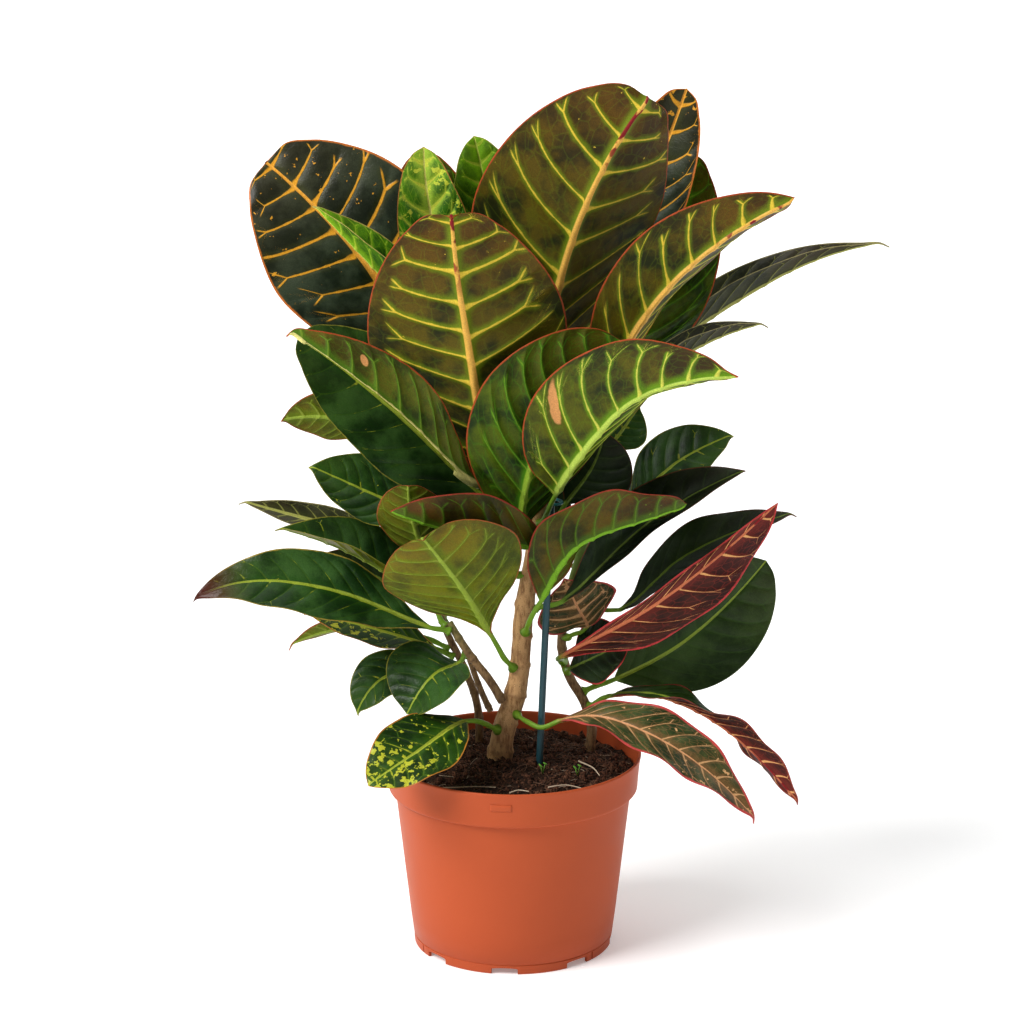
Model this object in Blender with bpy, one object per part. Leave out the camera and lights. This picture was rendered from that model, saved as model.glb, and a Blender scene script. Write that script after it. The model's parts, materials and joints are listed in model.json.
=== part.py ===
"""Potted croton: a pot of peat, two young side shoots and a staked main stem, and leaves on petioles.

Metres, +Z up, and the front faces -Y. The dimensions below are measured from the pot's centre line.
The finished plant is then moved so that the origin lies under the middle of its outer box.
Each leaf is one closed blade with its midrib and petiole, lofted through nine-sided rings.
"""

import math

import bmesh
import bpy
import numpy as np
from mathutils import Vector, noise

MM = 0.001
GAP = 0.3 * MM  # room kept between pieces that touch

# Pot: a standard 15 cm nursery pot
RIM_RADIUS = 75 * MM
POT_HEIGHT = 116 * MM
FOOT_RADIUS = 58.3 * MM
SHOULDER_RADIUS = 69.3 * MM  # body just under the rim band
BAND_HEIGHT = 20.5 * MM
BAND_FOOT_RADIUS = 72.6 * MM
WALL = 1.8 * MM
FLOOR_HEIGHT = 5 * MM
FLOOR_THICKNESS = 2 * MM
NOTCHES = 8
NOTCH_WIDTH = 15 * MM
NOTCH_HEIGHT = 3 * MM
NOTCH_TURN = math.radians(-5)
TURN_STEPS = 48

# Soil
SOIL_HEIGHT = 105 * MM  # at the wall
SOIL_CROWN = 8 * MM  # how much the middle is heaped up
SOIL_BUMPS = 2.5 * MM
SOIL_RINGS = 7
SOIL_SIDES = 32

# Leaves
BLADE_THICKNESS = 0.9 * MM
KEEL_DEPTH = 2.2 * MM
KEEL_WIDTH = 2.0 * MM
PETIOLE_RADIUS = 1.8 * MM
PETIOLE_RINGS = 3
PETIOLE_RISE = 0.6  # how steeply a petiole leaves its stem
END_BULGE = 0.6 * MM  # of a petiole's foot and of a leaf's tip
LEAST_HALF_WIDTH = 0.9  # of a blade's ring, in millimetres
BLADE_RINGS = (0.0, 0.08, 0.22, 0.38, 0.54, 0.69, 0.82, 0.92, 0.98)

# Outline of a blade: where it is widest, and how full it is at its base and at its tip
OUTLINES = {
    "broad": (0.56, 1.00, 0.52),
    "round": (0.52, 0.80, 0.55),
    "oval": (0.52, 0.95, 0.72),
    "pointed": (0.45, 0.80, 0.85),
    "spoon": (0.66, 1.00, 0.45),
    "lance": (0.50, 1.00, 1.00),
    "narrow": (0.44, 1.00, 1.25),
}

# Stems: millimetres, from the buried foot up, as (x, y, z, radius)
STEMS = {
    "main_stem": [
        (-8, 0, 75, 6.5), (-8, 0, 112, 6.9), (-4, 0, 135, 6.6), (1, 0, 150, 6.3), (4, 0, 170, 5.6),
        (6, 0, 200, 5.6), (11, 1, 232, 4.8), (15, 3, 265, 4.6), (14, 6, 298, 4.2), (6, 9, 325, 3.6),
        (-2, 10, 344, 2.6),
    ],
    "left_shoot": [
        (-20, 27, 75, 2.4), (-20, 27, 112, 2.4), (-21, 25, 135, 2.3), (-28, 23, 158, 2.2),
        (-38, 22, 180, 2.1), (-46, 22, 205, 2.0), (-50, 24, 240, 1.8),
    ],
    "right_shoot": [
        (45, 20, 75, 3.0), (45, 20, 112, 3.0), (46, 21, 130, 2.9), (38, 22, 146, 2.8),
        (30, 22, 162, 2.7), (29, 23, 185, 2.6), (36, 25, 218, 2.4), (47, 27, 252, 2.2), (56, 28, 280, 1.9),
    ],
}
BRANCHES = {
    "upper_branch": [(-6.5, -6.5, 149, 2.6), (-14, -9, 163, 2.5), (-24, -8, 176, 2.4), (-37, -4, 196, 2.1)],
    "lower_branch": [(-13.0, 1, 140, 1.8), (-18, 4, 150, 1.8), (-23, 6, 163, 1.7), (-27, 8, 176, 1.5)],
}
STEM_SIDES = 12
STEM_RINGS = {"main_stem": 24, "left_shoot": 14, "right_shoot": 14}

STAKE_RADIUS = 2.0
STAKE = [(13.5, -16, 75), (22.5, -5, 284)]

TIE_RADIUS = 0.9
TIE = [
    (-12, -8, 271), (-4, -9, 270), (6, -8, 270), (17, -9.5, 269), (25, -10, 268), (28, -4, 268),
    (23.5, 3, 268), (18, 10, 268), (10.5, 8, 268), (8, 2, 268), (10, -4.4, 268),
]

LEAVES = []


def leaf(name, stem, node, path, width, upper, fold=8, cup=10, outline="broad", tip_upper=None, neck=None):
    """Lists one leaf. stem and node say where it grows: the stem's name and the height of the node on it.

    path runs along the midrib from the blade's base to its tip, upper points out of its upper face, and
    fold and cup raise its two halves from flat, in degrees. neck is a point that the petiole passes.
    """
    LEAVES.append(
        {
            "name": name,
            "stem": stem,
            "node": node,
            "path": path,
            "width": width,
            "upper": upper,
            "tip_upper": tip_upper or upper,
            "fold": fold,
            "cup": cup,
            "outline": outline,
            "neck": neck,
        }
    )


def list_leaves():
    main, left, right = "main_stem", "left_shoot", "right_shoot"
    # The crown
    leaf("leaf_top_centre", main, 300, [(13, 4, 325), (37, -5, 431), (76, -15, 503)],
         120, (-0.35, 1, 0.1), 18)
    leaf("leaf_top_left", main, 318, [(-33, 14, 333), (-95, 30, 413), (-143, 45, 457)],
         106, (0.2, -1, 0.3), 6)
    leaf("leaf_upper_front", main, 283, [(-8, -8, 289), (-26, -34, 373), (-34, -52, 446)],
         114, (0, 1, 0.2), 6, outline="round")
    leaf("leaf_young_tall", main, 338, [(-28, 12, 368), (-46, 11, 430), (-50, 5, 471)],
         42, (0, -1, 0.2), 15)
    leaf("leaf_young_back", main, 342, [(-8, 22, 385), (-15, 24, 440), (-22, 22, 474)],
         42, (0.1, -1, 0), 12)
    leaf("leaf_young_folded", main, 332, [(-40, 4, 361), (-75, 6, 398), (-112, 6, 438)],
         36, (0.7, -0.3, 0.7), 50, outline="lance")
    leaf("leaf_behind_young", main, 328, [(-25, 38, 355), (-43, 48, 410), (-52, 52, 461)],
         56, (0, -1, 0.3), 8)
    leaf("leaf_top_right", main, 322, [(40, 34, 360), (76, 48, 436), (99, 48, 498)],
         54, (-0.3, -1, 0.1), 12)
    leaf("leaf_upright_right", main, 310, [(42, 36, 316), (84, 58, 373), (101, 60, 460)],
         60, (-0.2, -1, 0.2), 10)
    leaf("leaf_right_upper", main, 288, [(42, -8, 320), (88, -20, 397), (156, -27, 447)],
         66, (-0.45, 0.8, 0.4), 30, outline="oval")
    leaf("leaf_right_long", main, 288, [(58, 57, 317), (113, 76, 356), (175, 80, 391), (219, 80, 402)],
         38, (-0.3, -0.1, 1), 48, outline="narrow", neck=(36, 38, 300))
    leaf("leaf_right_narrow", main, 278, [(61, 20, 318), (105, 30, 350), (145, 38, 363)],
         30, (-0.3, 0, 1), 38, outline="lance")
    leaf("leaf_front_star", main, 256,
         [(24, -29, 279), (40, -50, 310), (66, -66, 342), (95, -75, 355), (120, -78, 358)],
         88, (-0.4, 0.75, 0.5), 26, outline="pointed")
    leaf("leaf_front_inner", main, 250, [(5, -18, 256), (18, -32, 318), (60, -36, 369)],
         88, (-0.35, 1, 0.2), 10, outline="round")
    leaf("leaf_left_folded", main, 277, [(-18, -20, 280), (-68, -52, 335), (-125, -54, 379)],
         52, (0.7, 0.1, 0.7), 62, outline="oval")
    leaf("leaf_left_glossy", main, 258, [(-9, 0, 264), (-67, -10, 322), (-121, -14, 368)],
         70, (0.3, -1, 0.5), 6, outline="round")
    leaf("leaf_inner_dark", main, 250, [(30, 6, 264), (45, 4, 286), (52, 4, 306)],
         50, (0, -1, 0.3), 6)
    # The left side
    leaf("leaf_left_small", left, 236, [(-75, 27, 300), (-104, 30, 309), (-133, 30, 308)],
         32, (0, 1, 0.2), 8, outline="oval")
    leaf("leaf_left_middle", left, 228, [(-48, 12, 251), (-82, 10, 269), (-116, 10, 285)],
         46, (0.2, -0.7, 0.7), 8, outline="oval")
    leaf("leaf_left_rounded", main, 224, [(-46, -11, 236), (-56, -20, 258), (-59, -30, 285)],
         42, (0, 1, 0.3), 8)
    leaf("leaf_front_cupped", main, 232, [(20, -20, 243), (-18, -42, 256), (-68, -52, 275)],
         60, (0, 0.6, 0.8), 18, 34, outline="oval")
    leaf("leaf_front_left", main, 170, [(-12, -20, 192), (-29, -49, 230), (-51, -66, 265)],
         86, (-0.2, 0.7, 0.7), 8, outline="spoon")
    leaf("leaf_left_lance", "upper_branch", 192,
         [(-48, -11, 195), (-104, -29, 223), (-150, -33, 229), (-182, -32, 218)],
         50, (0.1, -0.8, 0.7), 8, outline="lance")
    leaf("leaf_left_channelled", "upper_branch", 195, [(-45, -2, 203), (-88, -8, 236), (-134, -10, 254)],
         44, (0.3, -0.3, 0.9), 38, outline="lance")
    leaf("leaf_left_far", left, 218, [(-66, 30, 234), (-113, 30, 246), (-158, 30, 259)],
         24, (0.1, -0.5, 0.85), 14, outline="lance")
    leaf("leaf_left_inner", left, 200, [(-63, 20, 206), (-90, 20, 222), (-109, 20, 231)],
         28, (0.1, -0.6, 0.8), 8, outline="lance")
    leaf("leaf_low_left_mottled", left, 168, [(-45, 18, 173), (-80, 16, 185), (-120, 12, 197)],
         38, (0, -0.4, 0.9), 8, outline="oval")
    leaf("leaf_low_left_narrow", left, 172, [(-66, 28, 180), (-100, 29, 182), (-131, 28, 172)],
         20, (0.1, 0.7, 0.7), 14, outline="lance")
    leaf("leaf_low_left_drooping", left, 156, [(-50, 2, 163), (-74, -5, 163), (-90, -11, 144)],
         33, (-0.3, -0.7, 0.6), 13, outline="oval")
    leaf("leaf_low_left_curled", "lower_branch", 174, [(-31, -6, 172), (-46, -21, 169), (-60, -29, 150)],
         56, (-0.5, -0.7, 0.5), 13, 14, outline="round")
    leaf("leaf_over_rim", main, 132, [(-27, -28, 144), (-54, -58, 136), (-81, -77, 123)],
         48, (-0.1, -0.6, 0.8), 6, outline="round")
    # The right side
    leaf("leaf_right_curled", main, 192, [(16, -24, 215), (36, -36, 250), (78, -46, 270), (97, -47, 277)],
         62, (-0.4, 0.6, 0.6), 20, outline="round", neck=(10, -18, 203))
    leaf("leaf_right_lance", main, 204, [(28, -3, 208), (78, -12, 258), (130, -16, 289)],
         44, (-0.3, -0.5, 0.8), 24, outline="oval")
    leaf("leaf_right_dark", right, 262, [(65, 18, 260), (95, 24, 284), (126, 28, 299)],
         43, (-0.2, -0.6, 0.7), 8, outline="oval")
    leaf("leaf_right_inner", right, 276, [(55, 34, 288), (64, 40, 300), (73, 44, 312)],
         30, (0, -1, 0.3), 8, outline="oval")
    leaf("leaf_right_long_low", right, 197, [(62, 14, 198), (100, 6, 233), (162, 8, 258)],
         40, (-0.3, -0.4, 0.85), 10, outline="lance")
    leaf("leaf_right_red", right, 166, [(27, -4, 175), (82, -26, 214), (149, -26, 273)],
         44, (0.15, 1, -0.2), 18, outline="oval")
    leaf("leaf_red_inner", right, 160, [(33, 10, 163), (48, 5, 172), (68, 0, 184)],
         34, (-0.2, -0.6, 0.8), 8, outline="oval")
    leaf("leaf_right_round", right, 146, [(60, 25, 152), (100, 25, 175), (147, 20, 226)],
         66, (0.2, -0.9, 0.4), 6, outline="round")
    leaf("leaf_low_right_twisted", right, 138, [(56, 6, 148), (84, -6, 152), (118, -14, 138), (166, -25, 92)],
         38, (0, -0.3, 1), 12, outline="lance", tip_upper=(0.5, 0.8, 0.3))
    leaf("leaf_low_right_pink", main, 140, [(26, -22, 142), (50, -39, 150), (94, -57, 136), (138, -66, 97)],
         40, (0.3, -0.5, 0.8), 10, outline="lance", neck=(13, -20.5, 137))
    leaf("leaf_inner_streaked", right, 180, [(43, 12, 188), (37, 8, 202), (30, 6, 218)],
         34, (0, -1, 0.2), 8, outline="oval")
    # The back
    leaf("leaf_back_middle", right, 222, [(36, 42, 236), (8, 52, 256), (-22, 56, 272)],
         52, (0, -1, 0.4), 8)
    leaf("leaf_back_high", main, 312, [(10, 40, 335), (5, 75, 385), (-5, 105, 420)],
         80, (0, -1, 0.9), 8)
    leaf("leaf_back_left", main, 274, [(-20, 40, 285), (-50, 85, 320), (-75, 125, 335)],
         74, (0.2, -0.5, 1), 8)
    leaf("leaf_back_right", right, 224, [(60, 55, 238), (78, 95, 248), (90, 132, 244)],
         56, (-0.2, -0.4, 1), 8)
    leaf("leaf_back_low", left, 188, [(-38, 50, 205), (-30, 95, 225), (-20, 135, 225)],
         54, (0, -0.4, 1), 8)


def material(name, color, roughness):
    made = bpy.data.materials.new(name)
    made.use_nodes = True
    shader = made.node_tree.nodes["Principled BSDF"]
    shader.inputs["Base Color"].default_value = (*color, 1)
    shader.inputs["Roughness"].default_value = roughness
    return made


def add_object(name, mesh, surface):
    made = bpy.data.objects.new(name, mesh)
    bpy.context.scene.collection.objects.link(made)
    mesh.materials.append(surface)
    mesh.shade_smooth()
    mesh.set_sharp_from_angle(angle=math.radians(40))
    return made


def mesh_from(name, points, faces):
    mesh = bpy.data.meshes.new(name)
    mesh.from_pydata([tuple(p) for p in points], [], faces)
    mesh.validate()
    return mesh


def turned(name, profile):
    """A solid of revolution from a closed outline of (radius, height) points."""
    points = []
    faces = []
    count = len(profile)
    for i in range(TURN_STEPS):
        angle = 2 * math.pi * i / TURN_STEPS
        for radius, height in profile:
            points.append((radius * math.cos(angle), radius * math.sin(angle), height))
    for i in range(TURN_STEPS):
        here = i * count
        there = (i + 1) % TURN_STEPS * count
        for j in range(count):
            k = (j + 1) % count
            faces.append((here + j, there + j, there + k, here + k))
    mesh = mesh_from(name, points, faces)
    work = bmesh.new()
    work.from_mesh(mesh)
    bmesh.ops.remove_doubles(work, verts=work.verts, dist=1e-6)
    bmesh.ops.recalc_face_normals(work, faces=work.faces)
    work.to_mesh(mesh)
    work.free()
    return mesh


def cut(target, cutter):
    cutter.hide_render = True
    cutter.display_type = "WIRE"
    modifier = target.modifiers.new("cut", "BOOLEAN")
    modifier.operation = "DIFFERENCE"
    modifier.object = cutter


def box(name, size, place, turn):
    mesh = bpy.data.meshes.new(name)
    work = bmesh.new()
    bmesh.ops.create_cube(work, size=1)
    bmesh.ops.scale(work, vec=size, verts=work.verts)
    work.to_mesh(mesh)
    work.free()
    made = bpy.data.objects.new(name, mesh)
    made.location = place
    made.rotation_euler = (0, 0, turn)
    bpy.context.scene.collection.objects.link(made)
    return made


def outer_radius(height):
    """Radius of the pot's body at a height."""
    return FOOT_RADIUS + (SHOULDER_RADIUS - FOOT_RADIUS) * height / (POT_HEIGHT - BAND_HEIGHT)


def build_pot():
    band_foot = POT_HEIGHT - BAND_HEIGHT
    shoulder = outer_radius(band_foot)
    floor_top = FLOOR_HEIGHT + FLOOR_THICKNESS
    profile = [
        (FOOT_RADIUS - WALL, 0),
        (FOOT_RADIUS - 0.4 * MM, 0),
        (FOOT_RADIUS, 0.5 * MM),
        (outer_radius(band_foot - 2 * MM), band_foot - 2 * MM),
        (shoulder + 1.5 * MM, band_foot - 0.6 * MM),
        (BAND_FOOT_RADIUS - 1.2 * MM, band_foot + 0.8 * MM),
        (BAND_FOOT_RADIUS, band_foot + 3 * MM),
        (RIM_RADIUS - 0.3 * MM, POT_HEIGHT - 1.4 * MM),
        (RIM_RADIUS - 0.3 * MM, POT_HEIGHT - 0.4 * MM),
        (RIM_RADIUS - 0.9 * MM, POT_HEIGHT),
        (RIM_RADIUS - WALL, POT_HEIGHT - 0.3 * MM),
        (BAND_FOOT_RADIUS - WALL, band_foot + 3 * MM),
        (shoulder - WALL, band_foot - 2 * MM),
        (outer_radius(floor_top) - WALL, floor_top),
        (0, floor_top),
        (0, FLOOR_HEIGHT),
        (outer_radius(FLOOR_HEIGHT) - WALL, FLOOR_HEIGHT),
    ]
    plastic = material("terracotta plastic", (0.55, 0.13, 0.05), 0.5)
    pot = add_object("pot", turned("pot", profile), plastic)
    for i in range(NOTCHES):
        turn = NOTCH_TURN + 2 * math.pi * i / NOTCHES
        place = (FOOT_RADIUS * math.sin(turn), -FOOT_RADIUS * math.cos(turn), 0)
        cut(pot, box(f"notch cutter {i}", (NOTCH_WIDTH, 12 * MM, 2 * NOTCH_HEIGHT), place, turn))


def soil_top(x, y):
    """Height of the heaped soil at a place."""
    reach = math.hypot(x, y) / SHOULDER_RADIUS
    bumps = noise.noise(Vector((x, y, 0.02)) / (14 * MM)) * SOIL_BUMPS
    return SOIL_HEIGHT + SOIL_CROWN * (1 - reach * reach) + bumps * min(1, 2.5 * (1 - reach) + 0.3)


def soil_radius(height):
    inner = outer_radius(min(height, POT_HEIGHT - BAND_HEIGHT - 2 * MM)) - WALL - GAP
    over = max(0, height - (POT_HEIGHT - BAND_HEIGHT - 2 * MM))
    return inner + over * 0.5


def planted():
    """What stands in the soil: its line and how many rings it is made with."""
    (x0, y0, z0), (x1, y1, z1) = STAKE
    found = {name: (line, STEM_RINGS[name]) for name, line in STEMS.items()}
    found["stake"] = ([(x0, y0, z0, STAKE_RADIUS), (x1, y1, z1, STAKE_RADIUS)], 2)
    return found


def build_soil():
    bottom = FLOOR_HEIGHT + FLOOR_THICKNESS + GAP
    edge = soil_radius(SOIL_HEIGHT - 3 * MM)
    rings = [(soil_radius(height), height) for height in (bottom, 60 * MM, 94 * MM)]
    rings += [(edge * step / SOIL_RINGS, None) for step in range(SOIL_RINGS, 0, -1)]
    points = [(0, 0, bottom)]
    loops = []
    for radius, height in rings:
        loops.append(len(points))
        for i in range(SOIL_SIDES):
            angle = 2 * math.pi * i / SOIL_SIDES
            x, y = radius * math.cos(angle), radius * math.sin(angle)
            points.append((x, y, soil_top(x, y) if height is None else height))
    points.append((0, 0, soil_top(0, 0)))
    faces = []
    for i in range(SOIL_SIDES):
        j = (i + 1) % SOIL_SIDES
        faces.append((0, loops[0] + j, loops[0] + i))
        for low, high in zip(loops, loops[1:]):
            faces.append((low + i, low + j, high + j, high + i))
        faces.append((loops[-1] + i, loops[-1] + j, len(points) - 1))
    peat = material("peat", (0.05, 0.025, 0.012), 0.95)
    soil = add_object("soil", mesh_from("soil", points, faces), peat)
    for name, (line, count) in planted().items():
        wider = [(x, y, z, radius + GAP / MM) for x, y, z, radius in line]
        x, y, z, radius = wider[0]
        wider[0] = (x, y, z - GAP / MM, radius)
        cut(soil, tube(f"{name} hole cutter", wider, count, peat))


def smooth_curve(points, count, start=None):
    """Points spread along a smooth curve through the given ones, with the tangent at each."""
    points = np.array(points, float)
    lengths = np.linalg.norm(np.diff(points, axis=0)[:, :3], axis=1) ** 0.5
    knots = np.concatenate([[0], np.cumsum(lengths)])
    slopes = np.gradient(points, knots, axis=0, edge_order=2 if len(points) > 2 else 1)
    if start is not None:
        slopes[0] = np.array(start) * np.linalg.norm(slopes[0])

    def at(u):
        i = int(np.clip(np.searchsorted(knots, u, side="right") - 1, 0, len(points) - 2))
        step = knots[i + 1] - knots[i]
        t = (u - knots[i]) / step
        a, b = points[i], points[i + 1]
        p, q = slopes[i] * step, slopes[i + 1] * step
        return (
            (2 * t**3 - 3 * t**2 + 1) * a
            + (t**3 - 2 * t**2 + t) * p
            + (3 * t**2 - 2 * t**3) * b
            + (t**3 - t**2) * q
        )

    fine = np.array([at(u) for u in np.linspace(0, knots[-1], 400)])
    along = np.concatenate([[0], np.cumsum(np.linalg.norm(np.diff(fine, axis=0)[:, :3], axis=1))])
    places = np.asarray(count if np.ndim(count) else np.linspace(0, 1, count))
    wanted = places * along[-1]
    found = np.stack([np.interp(wanted, along, fine[:, k]) for k in range(fine.shape[1])], axis=1)
    ahead = np.stack([np.interp(wanted + along[-1] * 0.01, along, fine[:, k]) for k in range(3)], axis=1)
    behind = np.stack([np.interp(wanted - along[-1] * 0.01, along, fine[:, k]) for k in range(3)], axis=1)
    tangents = ahead - behind
    return found, tangents / np.linalg.norm(tangents, axis=1)[:, None]


def loft(rings, bulge=0.0):
    """Points and faces of a closed body through rings of as many points each.

    Each end is closed onto a point, which stands out from its ring by the bulge.
    """
    count = len(rings[0])
    points = [p for ring in rings for p in ring]
    faces = []
    for r in range(len(rings) - 1):
        for i in range(count):
            j = (i + 1) % count
            low, high = r * count, (r + 1) * count
            faces.append((low + i, low + j, high + j))
            faces.append((low + i, high + j, high + i))
    ends = ((0, rings[0], rings[1]), (len(points) - count, rings[-1], rings[-2]))
    for first, ring, inner in ends:
        outward = np.mean(ring, axis=0) - np.mean(inner, axis=0)
        points.append(np.mean(ring, axis=0) + outward / np.linalg.norm(outward) * bulge)
        middle = len(points) - 1
        for i in range(count):
            j = (i + 1) % count
            faces.append((middle, first + j, first + i) if first == 0 else (middle, first + i, first + j))
    return points, faces


def tube(name, line, count, surface, sides=STEM_SIDES):
    """A round stem through (x, y, z, radius) points in millimetres."""
    found, tangents = smooth_curve(line, count)
    rings = []
    across = np.array([1.0, 0, 0])
    for (x, y, z, radius), tangent in zip(found, tangents):
        across = across - tangent * across.dot(tangent)
        across /= np.linalg.norm(across)
        other = np.cross(tangent, across)
        ring = []
        for i in range(sides):
            angle = 2 * math.pi * i / sides
            out = across * math.cos(angle) + other * math.sin(angle)
            ring.append((np.array([x, y, z]) + radius * out) * MM)
        rings.append(ring)
    return add_object(name, mesh_from(name, *loft(rings)), surface)


def stem_at(name, height):
    """Centre and radius of a stem at a height, in millimetres."""
    line = STEMS.get(name) or BRANCHES[name]
    found, _ = smooth_curve(line, 200)
    return [float(np.interp(height, found[:, 2], found[:, k])) for k in (0, 1, 2, 3)]


def blade_width(t, outline):
    """Half width of a blade at t along it, where 1 is its widest."""
    widest, base_full, tip_full = OUTLINES[outline]
    power = math.log(0.5) / math.log(widest)
    full = base_full + (tip_full - base_full) * t
    return math.sin(math.pi * max(t, 0.0) ** power) ** full


def half_section(half_width, fold, cup, share):
    """How far out and how far up a point lies on one half of a blade, at a share of its width."""
    steps = 8
    out = up = 0.0
    for k in range(steps):
        angle = math.radians(fold + cup * share * (k + 0.5) / steps)
        out += math.cos(angle) * half_width * share / steps
        up += math.sin(angle) * half_width * share / steps
    return out, up


def leaf_rings(spec):
    x, y, z, radius = stem_at(spec["stem"], spec["node"])
    stem_point = np.array([x, y, z])
    base = np.array(spec["path"][0], float)
    toward = np.array(spec["neck"] or spec["path"][0], float) - stem_point
    flat = np.array([toward[0], toward[1], 0])
    flat /= np.linalg.norm(flat)
    start = stem_point + flat * (radius + (PETIOLE_RADIUS + GAP) / MM)
    line = [start] + ([spec["neck"]] if spec["neck"] else []) + spec["path"]
    leaving = flat + np.array([0, 0, PETIOLE_RISE])
    leaving /= np.linalg.norm(leaving)
    probe, _ = smooth_curve(line, 400, start=leaving)
    near_base = np.argmin(np.linalg.norm(probe - base, axis=1)) / 399
    share = [near_base * i / PETIOLE_RINGS for i in range(PETIOLE_RINGS)]
    share += [near_base + (1 - near_base) * t for t in BLADE_RINGS]
    found, tangents = smooth_curve(line, share, start=leaving)
    rings = []
    for s, point, tangent in zip(share, found, tangents):
        t = max(0, (s - near_base) / (1 - near_base))
        upper = np.array(spec["upper"], float) * (1 - t) + np.array(spec["tip_upper"], float) * t
        upper -= tangent * upper.dot(tangent)
        upper /= np.linalg.norm(upper)
        side = np.cross(tangent, upper)
        half_width = max(spec["width"] / 2 * blade_width(t, spec["outline"]), LEAST_HALF_WIDTH)
        flare = min(1, t / BLADE_RINGS[1])
        thick = BLADE_THICKNESS / MM / 2
        petiole = PETIOLE_RADIUS / MM * (1 - 0.25 * min(1, s / near_base))
        keel = KEEL_DEPTH / MM * (1 - 0.75 * t) + thick
        keel_half = KEEL_WIDTH / MM / 2 * (1 - 0.8 * t)
        if t == 0:
            angles = [math.pi - 2 * math.pi * k / 9 for k in range(9)]
            ring = [point + petiole * (side * math.cos(a) + upper * math.sin(a)) for a in angles]
        else:
            fold = spec["fold"] * flare
            mid_out, mid_up = half_section(half_width, fold, spec["cup"], 0.5)
            end_out, end_up = half_section(half_width, fold, spec["cup"], 1)
            ring = [
                point - side * end_out + upper * end_up,
                point - side * mid_out + upper * (mid_up + thick),
                point + upper * thick,
                point + side * mid_out + upper * (mid_up + thick),
                point + side * end_out + upper * end_up,
                point + side * mid_out + upper * (mid_up - thick),
                point + side * min(keel_half, mid_out * 0.6) - upper * keel,
                point - side * min(keel_half, mid_out * 0.6) - upper * keel,
                point - side * mid_out + upper * (mid_up - thick),
            ]
        rings.append([p * MM for p in ring])
    return rings


def build_leaves():
    green = material("croton leaf", (0.03, 0.09, 0.015), 0.35)
    for spec in LEAVES:
        rings = leaf_rings(spec)
        points, faces = loft(rings, END_BULGE)
        add_object(spec["name"], mesh_from(spec["name"], points, faces), green)


def build_stems():
    bark = material("corky bark", (0.35, 0.22, 0.12), 0.8)
    for name, line in STEMS.items():
        tube(name, line, STEM_RINGS[name], bark)
    for name, line in BRANCHES.items():
        tube(name, line, 7, bark, 10)


def build_stake_and_tie():
    line, count = planted()["stake"]
    tube("stake", line, count, material("stake plastic", (0.01, 0.07, 0.10), 0.4))
    line = [(*p, TIE_RADIUS) for p in TIE]
    tube("plant_tie", line, 30, material("tie plastic", (0.02, 0.25, 0.25), 0.4), 6)


def stand_on_origin():
    """Moves everything so that the origin is under the middle of the plant's outer box."""
    bpy.context.view_layer.update()
    shown = [made for made in bpy.data.objects if not made.hide_render]
    corners = np.array([made.matrix_world @ vertex.co for made in shown for vertex in made.data.vertices])
    middle = (corners.min(axis=0) + corners.max(axis=0)) / 2
    for made in bpy.data.objects:
        made.location.x -= middle[0]
        made.location.y -= middle[1]


def main():
    for existing in list(bpy.data.objects):
        bpy.data.objects.remove(existing, do_unlink=True)
    build_pot()
    build_soil()
    build_stems()
    build_stake_and_tie()
    list_leaves()
    build_leaves()
    stand_on_origin()


main()
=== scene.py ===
"""Looks of a young croton in a nursery pot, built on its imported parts.

Every leaf is read from its own solid as five lines along the blade, and a fine blade is laid through them:
its veins, the swellings between them and its wavy margin are in the mesh, their colours in the material.
Lengths are metres, +Z is up and the plant's front faces -Y.
"""

import json
import math

import bmesh
import bpy
import numpy as np
from mathutils import Matrix, Vector
from mathutils import noise as land
from mathutils.bvhtree import BVHTree

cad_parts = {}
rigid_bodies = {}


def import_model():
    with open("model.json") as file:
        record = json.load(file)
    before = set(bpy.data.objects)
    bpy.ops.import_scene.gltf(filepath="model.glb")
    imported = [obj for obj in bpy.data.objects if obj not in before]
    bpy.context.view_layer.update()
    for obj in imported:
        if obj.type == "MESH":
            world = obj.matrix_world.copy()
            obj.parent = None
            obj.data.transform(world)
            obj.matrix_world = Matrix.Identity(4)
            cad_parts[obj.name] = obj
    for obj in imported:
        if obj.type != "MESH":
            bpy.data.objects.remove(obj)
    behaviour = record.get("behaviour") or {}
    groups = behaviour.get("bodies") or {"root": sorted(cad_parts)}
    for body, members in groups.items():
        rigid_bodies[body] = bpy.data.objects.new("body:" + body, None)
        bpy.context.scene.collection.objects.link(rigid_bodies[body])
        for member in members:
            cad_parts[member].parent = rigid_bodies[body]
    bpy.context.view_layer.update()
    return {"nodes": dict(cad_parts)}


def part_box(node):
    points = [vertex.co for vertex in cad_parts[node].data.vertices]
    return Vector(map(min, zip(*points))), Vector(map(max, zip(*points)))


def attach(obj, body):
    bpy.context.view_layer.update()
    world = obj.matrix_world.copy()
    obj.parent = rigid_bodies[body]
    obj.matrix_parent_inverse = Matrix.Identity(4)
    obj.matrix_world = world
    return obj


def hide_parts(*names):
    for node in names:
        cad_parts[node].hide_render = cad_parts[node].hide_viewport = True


for startup in list(bpy.data.objects):
    bpy.data.objects.remove(startup, do_unlink=True)
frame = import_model()

MM = 0.001
POT_LOW, POT_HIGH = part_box("pot")
POT_X = (POT_LOW[0] + POT_HIGH[0]) / 2
POT_Y = (POT_LOW[1] + POT_HIGH[1]) / 2
POT_HEIGHT = POT_HIGH[2]

# ---------------------------------------------------------------- node helpers


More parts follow.
